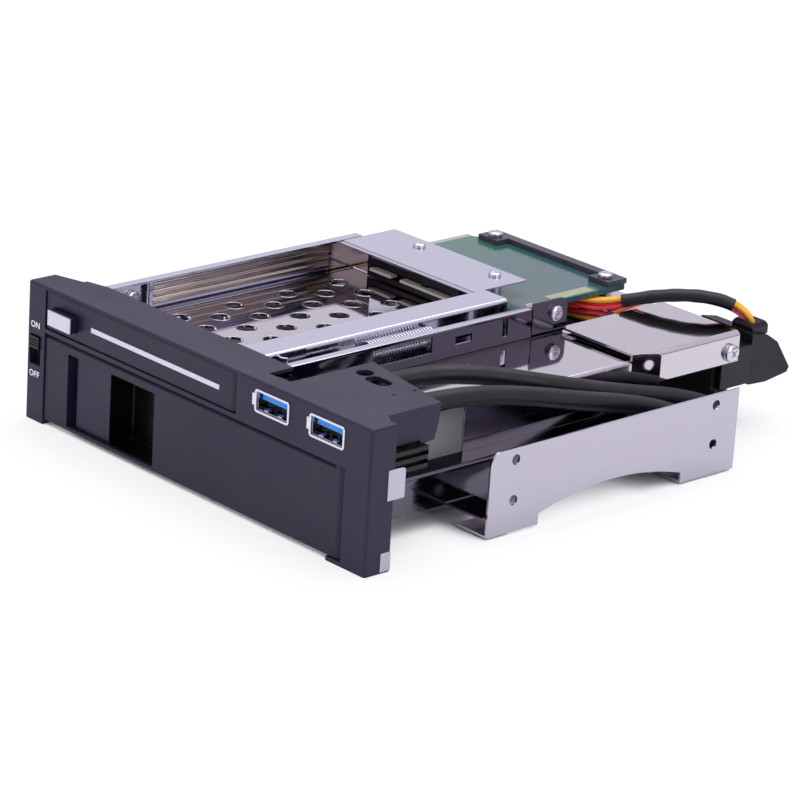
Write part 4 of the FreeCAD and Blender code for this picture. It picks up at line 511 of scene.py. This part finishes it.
bpy.ops.object.mode_set(mode="OBJECT")
apply(plate, "SOLIDIFY", thickness=0.0005, offset=0)
apply(plate, "BEVEL", width=0.0003, segments=3, limit_method="ANGLE")
settle("bay_rear_plate", sheet_metal("stainless_plate_warm", "#c9b8a6", 0.12, 0.04),
       "zinc_sheet")

# The post at the liner's front is a folded strip of zinc-plated steel, clipped over its edge.
post_thick, post_deep, post_tall = 0.0006, 0.0020, 0.0092
bpy.ops.mesh.primitive_cube_add(size=1, location=(low.x + 0.00045, low.y - post_deep / 2,
                                                  low.z - 0.0012 + post_tall / 2))
post = bpy.context.active_object
bpy.ops.transform.resize(value=(post_thick, post_deep, post_tall))
bpy.ops.object.transform_apply(location=True, rotation=True, scale=True)
bpy.ops.object.mode_set(mode="EDIT")
pick(post, "FACE", lambda face: face.normal.y < -0.9)
bpy.ops.mesh.extrude_region_move(TRANSFORM_OT_translate={"value": (0.0014, -0.0004, 0)})
bpy.ops.object.mode_set(mode="OBJECT")
apply(post, "BEVEL", width=0.00015, segments=2, limit_method="ANGLE")
settle("liner_post", zinc, "zinc_sheet")


# The screws: pan heads with a cross recess, bright steel, machine made. One head is
# turned, domed and broached, and every other is a copy of it. It is made with a radius of 1,
# and each copy is scaled to its own screw.
bpy.ops.mesh.primitive_cylinder_add(vertices=40, radius=1, depth=0.45, location=(0, 0, 0.225))
head = bpy.context.active_object
bpy.ops.object.transform_apply(location=True, rotation=True, scale=True)
bpy.ops.object.mode_set(mode="EDIT")
pick(head, "FACE", lambda face: face.normal.z > 0.9)
for step, rise_by in ((0.12, 0.10), (0.22, 0.09), (0.22, 0.04)):
    bpy.ops.mesh.inset(thickness=step)
    bpy.ops.transform.translate(value=(0, 0, rise_by))
bpy.ops.object.mode_set(mode="OBJECT")
bars = []
for quarter in (0, 90):
    bpy.ops.mesh.primitive_cube_add(size=1, location=(0, 0, 0.62))
    bar = bpy.context.active_object
    bpy.ops.transform.resize(value=(1.15, 0.26, 0.62))
    bar.rotation_euler = (0, 0, math.radians(quarter))
    bpy.ops.object.transform_apply(location=True, rotation=True, scale=True)
    bpy.ops.object.mode_set(mode="EDIT")
    pick(bar, "FACE", lambda face: face.normal.z < -0.9)
    bpy.ops.transform.resize(value=(0.6, 0.6, 1))
    bpy.ops.object.mode_set(mode="OBJECT")
    bars.append(bar)
for bar in bars:
    apply(head, "BOOLEAN", operation="DIFFERENCE", object=bar, solver="EXACT")
    bpy.data.objects.remove(bar)
apply(head, "BEVEL", width=0.03, segments=2, limit_method="ANGLE", angle_limit=math.radians(50))
bpy.ops.object.select_all(action="DESELECT")
head.select_set(True)
bpy.ops.object.shade_smooth_by_angle(angle=math.radians(35))


def screw_at(name, place, toward, radius, turned, *stands_for):
    """A copy of the screw's head at a place, with its top towards a direction."""
    copy = bpy.data.objects.new(name, head.data.copy())
    stand = Vector((0, 0, 1)).rotation_difference(Vector(toward)).to_matrix().to_4x4()
    copy.data.transform(Matrix.Translation(place) @ stand @ Matrix.Rotation(turned, 4, "Z")
                        @ Matrix.Scale(radius, 4))
    bpy.context.scene.collection.objects.link(copy)
    copy.select_set(True)
    bpy.context.view_layer.objects.active = copy
    settle(name, plain_steel, "steel_parts", "cage", *stands_for)


# Each head is sunk a little, so that its rim stands on the sheet that it holds.
head_sunk = 0.0012
for node, turned in (("cover_screw_left", 0.3), ("cover_screw_right", 1.1),
                     ("strip_screw_left", 0.8), ("strip_screw_right", 0.2)):
    low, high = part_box(node)
    middle = (low + high) / 2
    screw_at(node.replace("screw", "pan_head"), (middle.x, middle.y, high.z - head_sunk),
             (0, 0, 1), (high.x - low.x) / 2, turned, node)
low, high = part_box("lever_bolt")
screw_at("lever_pan_head", (high.x - head_sunk, (low.y + high.y) / 2, (low.z + high.z) / 2),
         (1, 0, 0), 0.0023, 0.5, "lever_bolt")
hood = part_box("cage_35")[1]
screw_at("hood_pan_head", (hood.x, hood.y - 0.0037, hood.z - 0.0060),
         toward=(1, 0, 0), radius=0.0027, turned=0.7)
liner_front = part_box("bay_liner")[0]
screw_at("wall_pan_head", (liner_front.x + 0.0001, liner_front.y - 0.0075, liner_front.z + 0.0035),
         toward=(1, 0, 0), radius=0.0021, turned=0.2)
bpy.data.objects.remove(head)


# The ejector's channel: a folded steel wall with a narrow top flange, a window for the
# spring and two small slots. The gap beside its flange leaves the coils open to view.
def box_tool(low, high):
    """A plain block that cuts an opening, and is then taken away."""
    bpy.ops.mesh.primitive_cube_add(size=1, location=[(a + b) / 2 for a, b in zip(low, high)])
    tool = bpy.context.active_object
    tool.scale = [b - a for a, b in zip(low, high)]
    bpy.ops.object.transform_apply(location=True, rotation=True, scale=True)
    return tool


low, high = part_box("channel_wall")
sheet, crest, flange_wide, lip_tall = 0.0007, high.z - 0.0019, 0.0024, 0.0008
bpy.ops.mesh.primitive_plane_add(size=1, location=(0, 0, 0))
wall = bpy.context.active_object
wall.rotation_euler = (0, math.radians(90), 0)
wall.scale = (crest - low.z, high.y - low.y, 1)
wall.location = (high.x - sheet / 2, (low.y + high.y) / 2, (low.z + crest) / 2)
bpy.ops.object.transform_apply(location=True, rotation=True, scale=True)
bpy.ops.object.mode_set(mode="EDIT")
pick(wall, "EDGE", lambda edge: all(wall.data.vertices[i].co.z > crest - 0.0001
                                    for i in edge.vertices))
bpy.ops.mesh.extrude_region_move(TRANSFORM_OT_translate={"value": (-flange_wide, 0, 0)})
bpy.ops.mesh.extrude_region_move(TRANSFORM_OT_translate={"value": (-0.0002, 0, -lip_tall)})
bpy.ops.object.mode_set(mode="OBJECT")
apply(wall, "SOLIDIFY", thickness=sheet, offset=0)
apply(wall, "BEVEL", width=0.0003, segments=3, limit_method="ANGLE")
# The window and the slots: how far behind the bezel's face they start and end, and their
# heights, in millimetres.
for near, far, bottom, top in ((49.0, 71.5, 33.6, 38.4), (80.5, 87.0, 34.4, 37.0),
                               (99.0, 101.2, 33.2, 38.8)):
    tool = box_tool((high.x - 0.002, bezel_front + near / 1000, bottom / 1000),
                    (high.x + 0.002, bezel_front + far / 1000, top / 1000))
    apply(wall, "BOOLEAN", operation="DIFFERENCE", object=tool, solver="EXACT")
    bpy.data.objects.remove(tool)
wall.select_set(True)
bpy.ops.object.shade_smooth_by_angle(angle=math.radians(35))
wall = settle("channel_wall_folded", smoky, "zinc_sheet", "cage", "channel_wall")
# The faces that look upwards get bright zinc and the rest of this one folded sheet dark smoky nickel:
# painted light on the flange's top and painted shade on the wall below.
wall.data.materials.append(zinc)
for face in wall.data.polygons:
    face.material_index = int(face.normal.z > 0.4)

# The spring's fixed hook: a small tongue bent in from the wall, with its end turned up.
hook_wide, hook_long = 0.0058, 0.0040
spring_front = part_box("ejector_spring")[0]
bpy.ops.mesh.primitive_cube_add(size=1, location=(high.x - 0.0008 - hook_wide / 2, spring_front.y,
                                                  spring_front.z + 0.0025))
hook = bpy.context.active_object
bpy.ops.transform.resize(value=(hook_wide, hook_long, sheet))
bpy.ops.object.transform_apply(location=True, rotation=True, scale=True)
bpy.ops.object.mode_set(mode="EDIT")
pick(hook, "FACE", lambda face: face.normal.x < -0.9)
bpy.ops.mesh.extrude_region_move(TRANSFORM_OT_translate={"value": (-0.0005, 0, 0.0016)})
bpy.ops.object.mode_set(mode="OBJECT")
apply(hook, "BEVEL", width=0.00015, segments=2, limit_method="ANGLE")
settle("spring_hook", smoky, "zinc_sheet")

# A bright C-shaped catch stands on the bay's right wall, near the bezel. The drive's
# carrier clicks behind it. It is punched from the same sheet and folded up.
catch_tall, catch_long = 0.0038, 0.0105
low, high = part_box("bay_25_right_wall")
bpy.ops.mesh.primitive_plane_add(size=1, location=(high.x - 0.0036, low.y + 0.0099,
                                                   high.z - 0.0002 - catch_tall / 2))
catch = bpy.context.active_object
catch.rotation_euler = (0, math.radians(90), 0)
catch.scale = (catch_tall, catch_long, 1)
bpy.ops.object.transform_apply(location=True, rotation=True, scale=True)
bpy.ops.object.mode_set(mode="EDIT")
pick(catch, "EDGE", lambda edge: all(catch.data.vertices[i].co.y < low.y + 0.0052
                                     for i in edge.vertices))
# Two folds at its front end give it its C shape.
bpy.ops.mesh.extrude_region_move(TRANSFORM_OT_translate={"value": (0.0030, -0.0010, 0)})
bpy.ops.mesh.extrude_region_move(TRANSFORM_OT_translate={"value": (0.0014, 0.0012, 0)})
bpy.ops.object.mode_set(mode="OBJECT")
apply(catch, "SOLIDIFY", thickness=0.0006, offset=0)
apply(catch, "BEVEL", width=0.0002, segments=2, limit_method="ANGLE")
settle("drive_catch", zinc, "zinc_sheet")


# The ejector's spring: 0.6 mm bright spring wire, close coiled, hooked to the channel's
# tongue in front and to the slider's lug behind.
turns, pitch, coil_radius, wire_radius = 22, 0.00112, 0.0025, 0.0003
low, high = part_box("ejector_spring")
core_x, core_z, coil_front = (low.x + high.x) / 2, high.z - 0.0022, low.y + 0.0229
coil_back = coil_front + turns * pitch
bpy.ops.mesh.primitive_circle_add(vertices=8, radius=wire_radius, location=(coil_radius, 0, 0),
                                  rotation=(math.radians(90), 0, 0))
coil = bpy.context.active_object
bpy.ops.object.transform_apply(location=True, rotation=True, scale=True)
apply(coil, "SCREW", angle=math.tau, screw_offset=pitch, iterations=turns, steps=18,
      render_steps=18, axis="Z", use_merge_vertices=False)
coil.data.transform(Matrix.Translation((core_x, coil_front, core_z))
                    @ Matrix.Rotation(math.radians(-90), 4, "X"))
parts = [coil]
# The straight legs leave the coil's ends, turn in to its middle, and run to the two hooks. Each
# point says how far it lies from the middle, and where it is along the spring.
for points in (((coil_radius, coil_front), (0.0021, coil_front - 0.0009), (0, coil_front - 0.0023),
                (0, low.y + 0.0158), (0, low.y + 0.0018), (0, low.y - 0.0004)),
               ((coil_radius, coil_back), (0.0021, coil_back + 0.0009), (0, coil_back + 0.0015),
                (0, coil_back + 0.0031), (0, high.y + 0.0005))):
    line = bpy.data.curves.new("leg", "CURVE")
    line.dimensions, line.bevel_depth, line.bevel_resolution = "3D", wire_radius, 2
    line.use_fill_caps = True
    spline = line.splines.new("NURBS")
    spline.points.add(len(points) - 1)
    for place, (off, along) in zip(spline.points, points):
        place.co = (core_x + off, along, core_z, 1)
    spline.order_u = 3
    spline.use_endpoint_u = True
    leg = bpy.data.objects.new("leg", line)
    bpy.context.scene.collection.objects.link(leg)
    bpy.ops.object.select_all(action="DESELECT")
    leg.select_set(True)
    bpy.context.view_layer.objects.active = leg
    bpy.ops.object.convert(target="MESH")
    parts.append(leg)
for piece in parts:
    piece.select_set(True)
bpy.context.view_layer.objects.active = coil
bpy.ops.object.join()
bpy.ops.object.mode_set(mode="EDIT")
bpy.ops.mesh.select_all(action="SELECT")
bpy.ops.mesh.normals_make_consistent(inside=False)
bpy.ops.object.mode_set(mode="OBJECT")
bpy.ops.object.shade_smooth()
spring = settle("spring_coil", plain_steel, "steel_parts", "cage", "ejector_spring")
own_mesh(spring)


# The ports: each has a nickel-plated shell with a bright flange proud of the bezel, a
# blue moulded tongue, a black moulded floor, and two sprung leaves that grip a plug.
shell_metal = sheet_metal("steel_shell_nickel_plated", "#d8d5dd", 0.12, 0.02)
dress(shell_metal, "usb_shell_left", "usb_shell_right")
dress(moulded("thermoplastic_blue", "#2f86dd", 0.3, 1500, 0.00002), "usb_tongue_left",
      "usb_tongue_right")
nylon = moulded("nylon_moulded_black", "#0d0c12", 0.36, 2000, 0.00004)
flange_wide, flange_tall, flange_rim, flange_corner = 0.0142, 0.0067, 0.00072, 0.0010
lug_wide, lug_deep, lug_tall = 0.0012, 0.0004, 0.0034
floor_wide, floor_long, floor_tall, floor_edge = 0.0119, 0.0130, 0.0022, 0.0006
leaf_wide, leaf_long, leaf_apart = 0.0016, 0.0034, 0.0056
for side in ("left", "right"):
    low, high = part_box("usb_shell_" + side)
    middle = (low + high) / 2
    bpy.ops.mesh.primitive_plane_add(size=1, location=(0, 0, 0))
    flange = bpy.context.active_object
    flange.scale = (flange_wide, flange_tall, 1)
    bpy.ops.object.transform_apply(location=True, rotation=True, scale=True)
    bpy.ops.object.mode_set(mode="EDIT")
    bpy.ops.mesh.select_all(action="SELECT")
    bpy.ops.mesh.bevel(offset=flange_corner, affect="VERTICES", segments=5)
    bpy.ops.mesh.select_all(action="SELECT")
    bpy.ops.mesh.inset(thickness=flange_rim)
    bpy.ops.mesh.delete(type="FACE")
    bpy.ops.object.mode_set(mode="OBJECT")
    flange.rotation_euler = (math.radians(90), 0, 0)
    flange.location = (middle.x, bezel_front - 0.00008, middle.z)
    bpy.ops.object.transform_apply(location=True, rotation=True, scale=True)
    apply(flange, "SOLIDIFY", thickness=0.0005, offset=0)
    apply(flange, "BEVEL", width=0.00012, segments=2, limit_method="ANGLE")
    settle("port_flange_" + side, shell_metal, "port_shell")

    # A short lug at the left of the flange holds the shell in the bezel.
    bpy.ops.mesh.primitive_cube_add(size=1, location=(
        middle.x - flange_wide / 2 - 0.0003, bezel_front - 0.0001, middle.z + 0.0002))
    lug = bpy.context.active_object
    bpy.ops.transform.resize(value=(lug_wide, lug_deep, lug_tall))
    apply(lug, "BEVEL", width=0.00014, segments=2)
    settle("port_lug_" + side, shell_metal, "port_shell")

    # The black floor under the tongue, with a sunk top.
    bpy.ops.mesh.primitive_cube_add(size=1, location=(
        middle.x, low.y + 0.0030 + floor_long / 2, low.z + 0.00075 + floor_tall / 2))
    floor = bpy.context.active_object
    bpy.ops.transform.resize(value=(floor_wide, floor_long, floor_tall))
    bpy.ops.object.transform_apply(location=True, rotation=True, scale=True)
    bpy.ops.object.mode_set(mode="EDIT")
    pick(floor, "FACE", lambda face: face.normal.z > 0.9)
    bpy.ops.mesh.inset(thickness=floor_edge)
    bpy.ops.transform.translate(value=(0, 0, -0.0008))
    bpy.ops.object.mode_set(mode="OBJECT")
    apply(floor, "BEVEL", width=0.00012, segments=2, limit_method="ANGLE")
    settle("port_floor_" + side, nylon, "black_plastic")

    # The two leaves are cut from the shell's own sheet and arched upwards.
    for count, offset in enumerate((-leaf_apart / 2, leaf_apart / 2)):
        bpy.ops.mesh.primitive_grid_add(x_subdivisions=1, y_subdivisions=6, size=1,
                                        location=(0, 0, 0))
        leaf = bpy.context.active_object
        leaf.scale = (leaf_wide, leaf_long, 1)
        bpy.ops.object.transform_apply(location=True, rotation=True, scale=True)
        bpy.ops.object.mode_set(mode="EDIT")
        pick(leaf, "VERT", lambda v: abs(v.co.y) < 0.0013)
        bpy.ops.transform.translate(value=(0, 0, 0.0005))
        pick(leaf, "VERT", lambda v: abs(v.co.y) < 0.0002)
        bpy.ops.transform.translate(value=(0, 0, 0.0003))
        bpy.ops.object.mode_set(mode="OBJECT")
        apply(leaf, "SOLIDIFY", thickness=0.0002, offset=1)
        leaf.location = (middle.x + offset, low.y + 0.0018, low.z + 0.00045)
        bpy.ops.object.select_all(action="DESELECT")
        leaf.select_set(True)
        bpy.ops.object.shade_smooth_by_angle(angle=math.radians(60))
        settle("port_leaf_%s_%d" % (side, count + 1), shell_metal, "port_shell")


# Inside the ports' hood, a black moulded clamp with long ribs grips both cables. It shows
# through the opening low in the hood's right side.
low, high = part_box("usb_housing")
foot, tall, layers = low.z + 0.0005, 0.0062, 5
clamp_wide, clamp_long, groove_deep = 0.0080, 0.0165, 0.0016
bpy.ops.mesh.primitive_cube_add(size=1, location=(high.x - 0.0056, low.y + 0.0105, foot + tall / 2))
clamp = bpy.context.active_object
bpy.ops.transform.resize(value=(clamp_wide, clamp_long, tall))
bpy.ops.object.transform_apply(location=True, rotation=True, scale=True)
bpy.ops.object.mode_set(mode="EDIT")
for layer in range(1, layers):
    bpy.ops.mesh.select_all(action="SELECT")
    bpy.ops.mesh.bisect(plane_co=(0, 0, foot + tall * layer / layers), plane_no=(0, 0, 1))
pick(clamp, "FACE", lambda face: face.normal.x > 0.9
     and int((face.center.z - foot) / tall * layers) % 2 == 1)
bpy.ops.mesh.extrude_region_move(TRANSFORM_OT_translate={"value": (-groove_deep, 0, 0)})
bpy.ops.object.mode_set(mode="OBJECT")
settle("cable_clamp", nylon, "black_plastic")

# A black nylon tie holds the hank at its waist: a thin band round every turn of the cables,
# and a square head on top that locks the band's end.
waist_x, waist_y, band_wide, band_long, band_tall = -0.0310, 0.0982, 0.0038, 0.0192, 0.0120
band_top = 0.0001 + band_tall
bpy.ops.mesh.primitive_cube_add(size=1, location=(waist_x, waist_y, band_top - band_tall / 2))
tie = bpy.context.active_object
bpy.ops.transform.resize(value=(band_wide, band_long, band_tall))
bpy.ops.object.transform_apply(location=True, rotation=True, scale=True)
bpy.ops.object.mode_set(mode="EDIT")
pick(tie, "FACE", lambda face: abs(face.normal.x) > 0.9)
bpy.ops.mesh.delete(type="FACE")
bpy.ops.object.mode_set(mode="OBJECT")
apply(tie, "BEVEL", width=0.0031, segments=8, limit_method="ANGLE")
apply(tie, "SOLIDIFY", thickness=0.0006, offset=-1)
tie.select_set(True)
bpy.ops.object.shade_smooth_by_angle(angle=math.radians(35))
settle("hank_tie_band", nylon, "black_plastic")

lock_wide, lock_long, lock_tall = 0.0054, 0.0046, 0.0030
bpy.ops.mesh.primitive_cube_add(size=1, location=(waist_x, waist_y - 0.0036, band_top + 0.0011))
lock = bpy.context.active_object
bpy.ops.transform.resize(value=(lock_wide, lock_long, lock_tall))
bpy.ops.object.transform_apply(location=True, rotation=True, scale=True)
bpy.ops.object.mode_set(mode="EDIT")
pick(lock, "FACE", lambda face: face.normal.y < -0.9)
bpy.ops.mesh.inset(thickness=0.0008)
bpy.ops.mesh.extrude_region_move(TRANSFORM_OT_translate={"value": (0, 0.0012, 0)})
bpy.ops.object.mode_set(mode="OBJECT")
apply(lock, "BEVEL", width=0.0003, segments=3, limit_method="ANGLE")
settle("hank_tie_head", nylon, "black_plastic")


# The boards: glass-fibre laminate with a glossy green solder mask. Its colour runs from green at the
# left to bluish at the right: a painted reflection of the sky. Black moulded sockets and a slate
# strip sit on it.
# The mask is mottled over about 8 mm, and the tracks under it stand out in a 2.4 mm net.
board, tree, shader = finish("solder_mask_green_gloss", "#3c6a60", Roughness=0.16, IOR=1.55)
here = add(tree, "TexCoord").outputs["Object"]
spread = add(tree, "SeparateXYZ", {"Vector": here})
mottle = add(tree, "TexNoise", {"Vector": here, "Scale": 120, "Detail": 4})
# The colour's drift along X, from green to bluish, is a painted reflection of the sky.
place = add(tree, "MapRange", {"Value": spread.outputs["X"], "From Min": -0.055, "From Max": 0.01})
mottle_and_painted_reflection = add(tree, "Math", {0: mottle.outputs[0], 1: 0.35, 2: place.outputs[0]},
            operation="MULTIPLY_ADD")
tone = add(tree, "ValToRGB", {"Fac": mottle_and_painted_reflection.outputs[0]})
tone.color_ramp.elements[0].position, tone.color_ramp.elements[0].color = 0.2, linear("#265f47")
tone.color_ramp.elements[1].position, tone.color_ramp.elements[1].color = 0.7, linear("#2e4e54")
tree.links.new(tone.outputs[0], shader.inputs["Base Color"])
tracks = add(tree, "TexVoronoi", {"Vector": here, "Scale": 420}, feature="DISTANCE_TO_EDGE")
tree.links.new(add(tree, "Bump", {"Height": tracks.outputs[0], "Strength": 0.05,
                                  "Distance": 0.0001}).outputs[0], shader.inputs["Normal"])
dress(board, "backplane_25", "usb_board")
dress(moulded("solder_mask_dark", "#101c18", 0.3, 1500, 0.00002), "backplane_35")
dress(nylon, "sata_receptacle_25", "sata_receptacle_35", "power_inlet", "power_header", "usb_plug",
      "cable_gland_left", "cable_gland_right")
dress(moulded("nylon_moulded_slate", "#100e1c", 0.5), "power_plug")
dress(moulded("abs_strip_slate", "#3b3946", 0.35), "board_clamp_strip")

# A yellowish patch of bare laminate lies along the board's edge, above the header.
laminate, tree, shader = finish("glass_fibre_laminate_bare", "#8f9478", Roughness=0.4)
weave = add(tree, "TexNoise", {"Vector": add(tree, "TexCoord").outputs["Object"], "Scale": 900})
tone = add(tree, "MixRGB", {"Fac": weave.outputs[0], "Color1": linear("#9a9c7c"),
                            "Color2": linear("#7f9274")})
tree.links.new(tone.outputs[0], shader.inputs["Base Color"])
patch_wide, patch_long, patch_thick = 0.0040, 0.0170, 0.00012
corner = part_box("backplane_25")[1]
bpy.ops.mesh.primitive_cube_add(size=1, location=(corner.x - 0.0026, corner.y - 0.0207,
                                                  corner.z + 0.00004))
patch = bpy.context.active_object
bpy.ops.transform.resize(value=(patch_wide, patch_long, patch_thick))
apply(patch, "BEVEL", width=0.00004, segments=2)
settle("board_patch", laminate, "board_green")

# The drive's socket has two pale contact tongues, seen through the bay's open front: how far
# each starts and ends from the socket's left end, in millimetres.
pale = moulded("liquid_crystal_polymer_pale", "#c9c0b6", 0.4, 1500, 0.00002)
tongue_deep, tongue_thick = 0.0026, 0.0008
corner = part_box("sata_receptacle_25")[0]
for name, near, far in (("data", 3.5, 13.0), ("power", 17.0, 37.0)):
    bpy.ops.mesh.primitive_cube_add(size=1, location=(corner.x + (near + far) / 2000,
                                                      corner.y - 0.0002, corner.z + 0.0027))
    tongue = bpy.context.active_object
    bpy.ops.transform.resize(value=((far - near) / 1000, tongue_deep, tongue_thick))
    apply(tongue, "BEVEL", width=0.0002, segments=3)
    settle("socket_tongue_" + name, pale, "black_plastic")


# Where the wires go into the plug, a raised black nylon block surrounds them. It is moulded
# in one with the plug, with a sunk mouth and slightly round edges.
entry_wide, entry_long, entry_tall = 0.0085, 0.0070, 0.0030
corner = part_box("power_plug")[1]
bpy.ops.mesh.primitive_cube_add(size=1, location=(corner.x - 0.0057, corner.y - 0.0127,
                                                  corner.z - 0.0002))
block = bpy.context.active_object
bpy.ops.transform.resize(value=(entry_wide, entry_long, entry_tall))
bpy.ops.object.transform_apply(location=True, rotation=True, scale=True)
bpy.ops.object.mode_set(mode="EDIT")
pick(block, "FACE", lambda face: face.normal.z > 0.9)
bpy.ops.mesh.inset(thickness=0.0009)
bpy.ops.transform.translate(value=(0, 0, 0.0012))
bpy.ops.mesh.inset(thickness=0.0010)
bpy.ops.transform.translate(value=(0, 0, -0.0009))
bpy.ops.object.mode_set(mode="OBJECT")
apply(block, "BEVEL", width=0.0004, segments=3, limit_method="ANGLE")
settle("plug_entry", nylon, "black_plastic")


# The studio: a white table and backdrop, a broad soft light overhead, and two softer
# ones from the front and the right. The table keeps the object's shadow.
bpy.ops.mesh.primitive_plane_add(size=8, location=(0, 0, -0.0001))
table = bpy.context.active_object
table.name = "studio_table"
top, tree, shader = finish("table_white", "#f2f1f5", Roughness=0.9)
shown = add(tree, "Emission", {"Color": linear("#ffffff"), "Strength": 1.0})
path = add(tree, "LightPath")
mirrored = add(tree, "Math", {0: path.outputs["Is Glossy Ray"], 1: 0.55}, operation="MULTIPLY")
seen = add(tree, "Math", {0: path.outputs["Is Camera Ray"], 1: mirrored.outputs[0]},
           operation="MAXIMUM")
# Under the cage the glow is cut by ambient occlusion: painted shade, dark where the table is hidden
# under the object and full in the open.
open_air = add(tree, "MapRange", {
    "Value": add(tree, "AmbientOcclusion", {"Distance": 0.13}, samples=8).outputs["AO"],
    "From Min": 0.16, "From Max": 0.36})
glow = add(tree, "Math", {0: seen.outputs[0], 1: 0.75}, operation="MULTIPLY")
share = add(tree, "Math", {0: glow.outputs[0], 1: open_air.outputs[0]}, operation="MULTIPLY")
both = add(tree, "MixShader", {0: share.outputs[0], 1: shader.outputs[0], 2: shown.outputs[0]})
tree.links.new(both.outputs[0], tree.nodes["Material Output"].inputs["Surface"])
table.data.materials.append(top)

# The backdrop is white. What the metal mirrors is paler overhead and warmer near the table.
world = bpy.data.worlds.new("studio")
bpy.context.scene.world = world
world.use_nodes = True
tree = world.node_tree
plain = tree.nodes["Background"]
plain.inputs[0].default_value, plain.inputs[1].default_value = (1, 1, 1, 1), 1.0
ray = add(tree, "TexCoord").outputs["Generated"]
height = add(tree, "SeparateXYZ", {"Vector": ray}).outputs["Z"]
fall = add(tree, "ValToRGB", {"Fac": add(tree, "MapRange", {
    "Value": height, "From Min": -0.2, "From Max": 1.0}).outputs[0]})
fall.color_ramp.elements[0].position, fall.color_ramp.elements[0].color = 0.16, linear("#6b5f5c")
fall.color_ramp.elements[1].position, fall.color_ramp.elements[1].color = 0.40, linear("#f5f3fd")
middle = fall.color_ramp.elements.new(0.27)
middle.color = linear("#b9aeb2")
dim = add(tree, "Background", {"Color": fall.outputs[0], "Strength": 0.95})
path = add(tree, "LightPath")
sky = add(tree, "MixShader", {0: path.outputs["Is Camera Ray"], 1: dim.outputs[0],
                              2: plain.outputs[0]})
tree.links.new(sky.outputs[0], tree.nodes["World Output"].inputs["Surface"])
bpy.context.scene.view_settings.view_transform = "Standard"


def lamp(name, place, aim, power, width, height):
    """A soft white lamp: a flat panel at a place, turned to what it lights."""
    light = bpy.data.lights.new(name, "AREA")
    light.shape, light.size, light.size_y = "RECTANGLE", width, height
    light.energy = power
    held = bpy.data.objects.new(name, light)
    held.location = place
    held.rotation_euler = (Vector(aim) - Vector(place)).to_track_quat("-Z", "Y").to_euler()
    bpy.context.scene.collection.objects.link(held)


lamp("light_overhead", (-0.15, 0.25, 1.1), (0, 0, 0), power=9, width=1.2, height=1.0)
lamp("light_right", (1.1, 0.1, 0.55), (0.05, 0, 0), power=3, width=0.7, height=0.9)
lamp("light_front", (-0.35, -1.1, 0.5), (0, -0.05, 0), power=1.5, width=0.8, height=0.5)
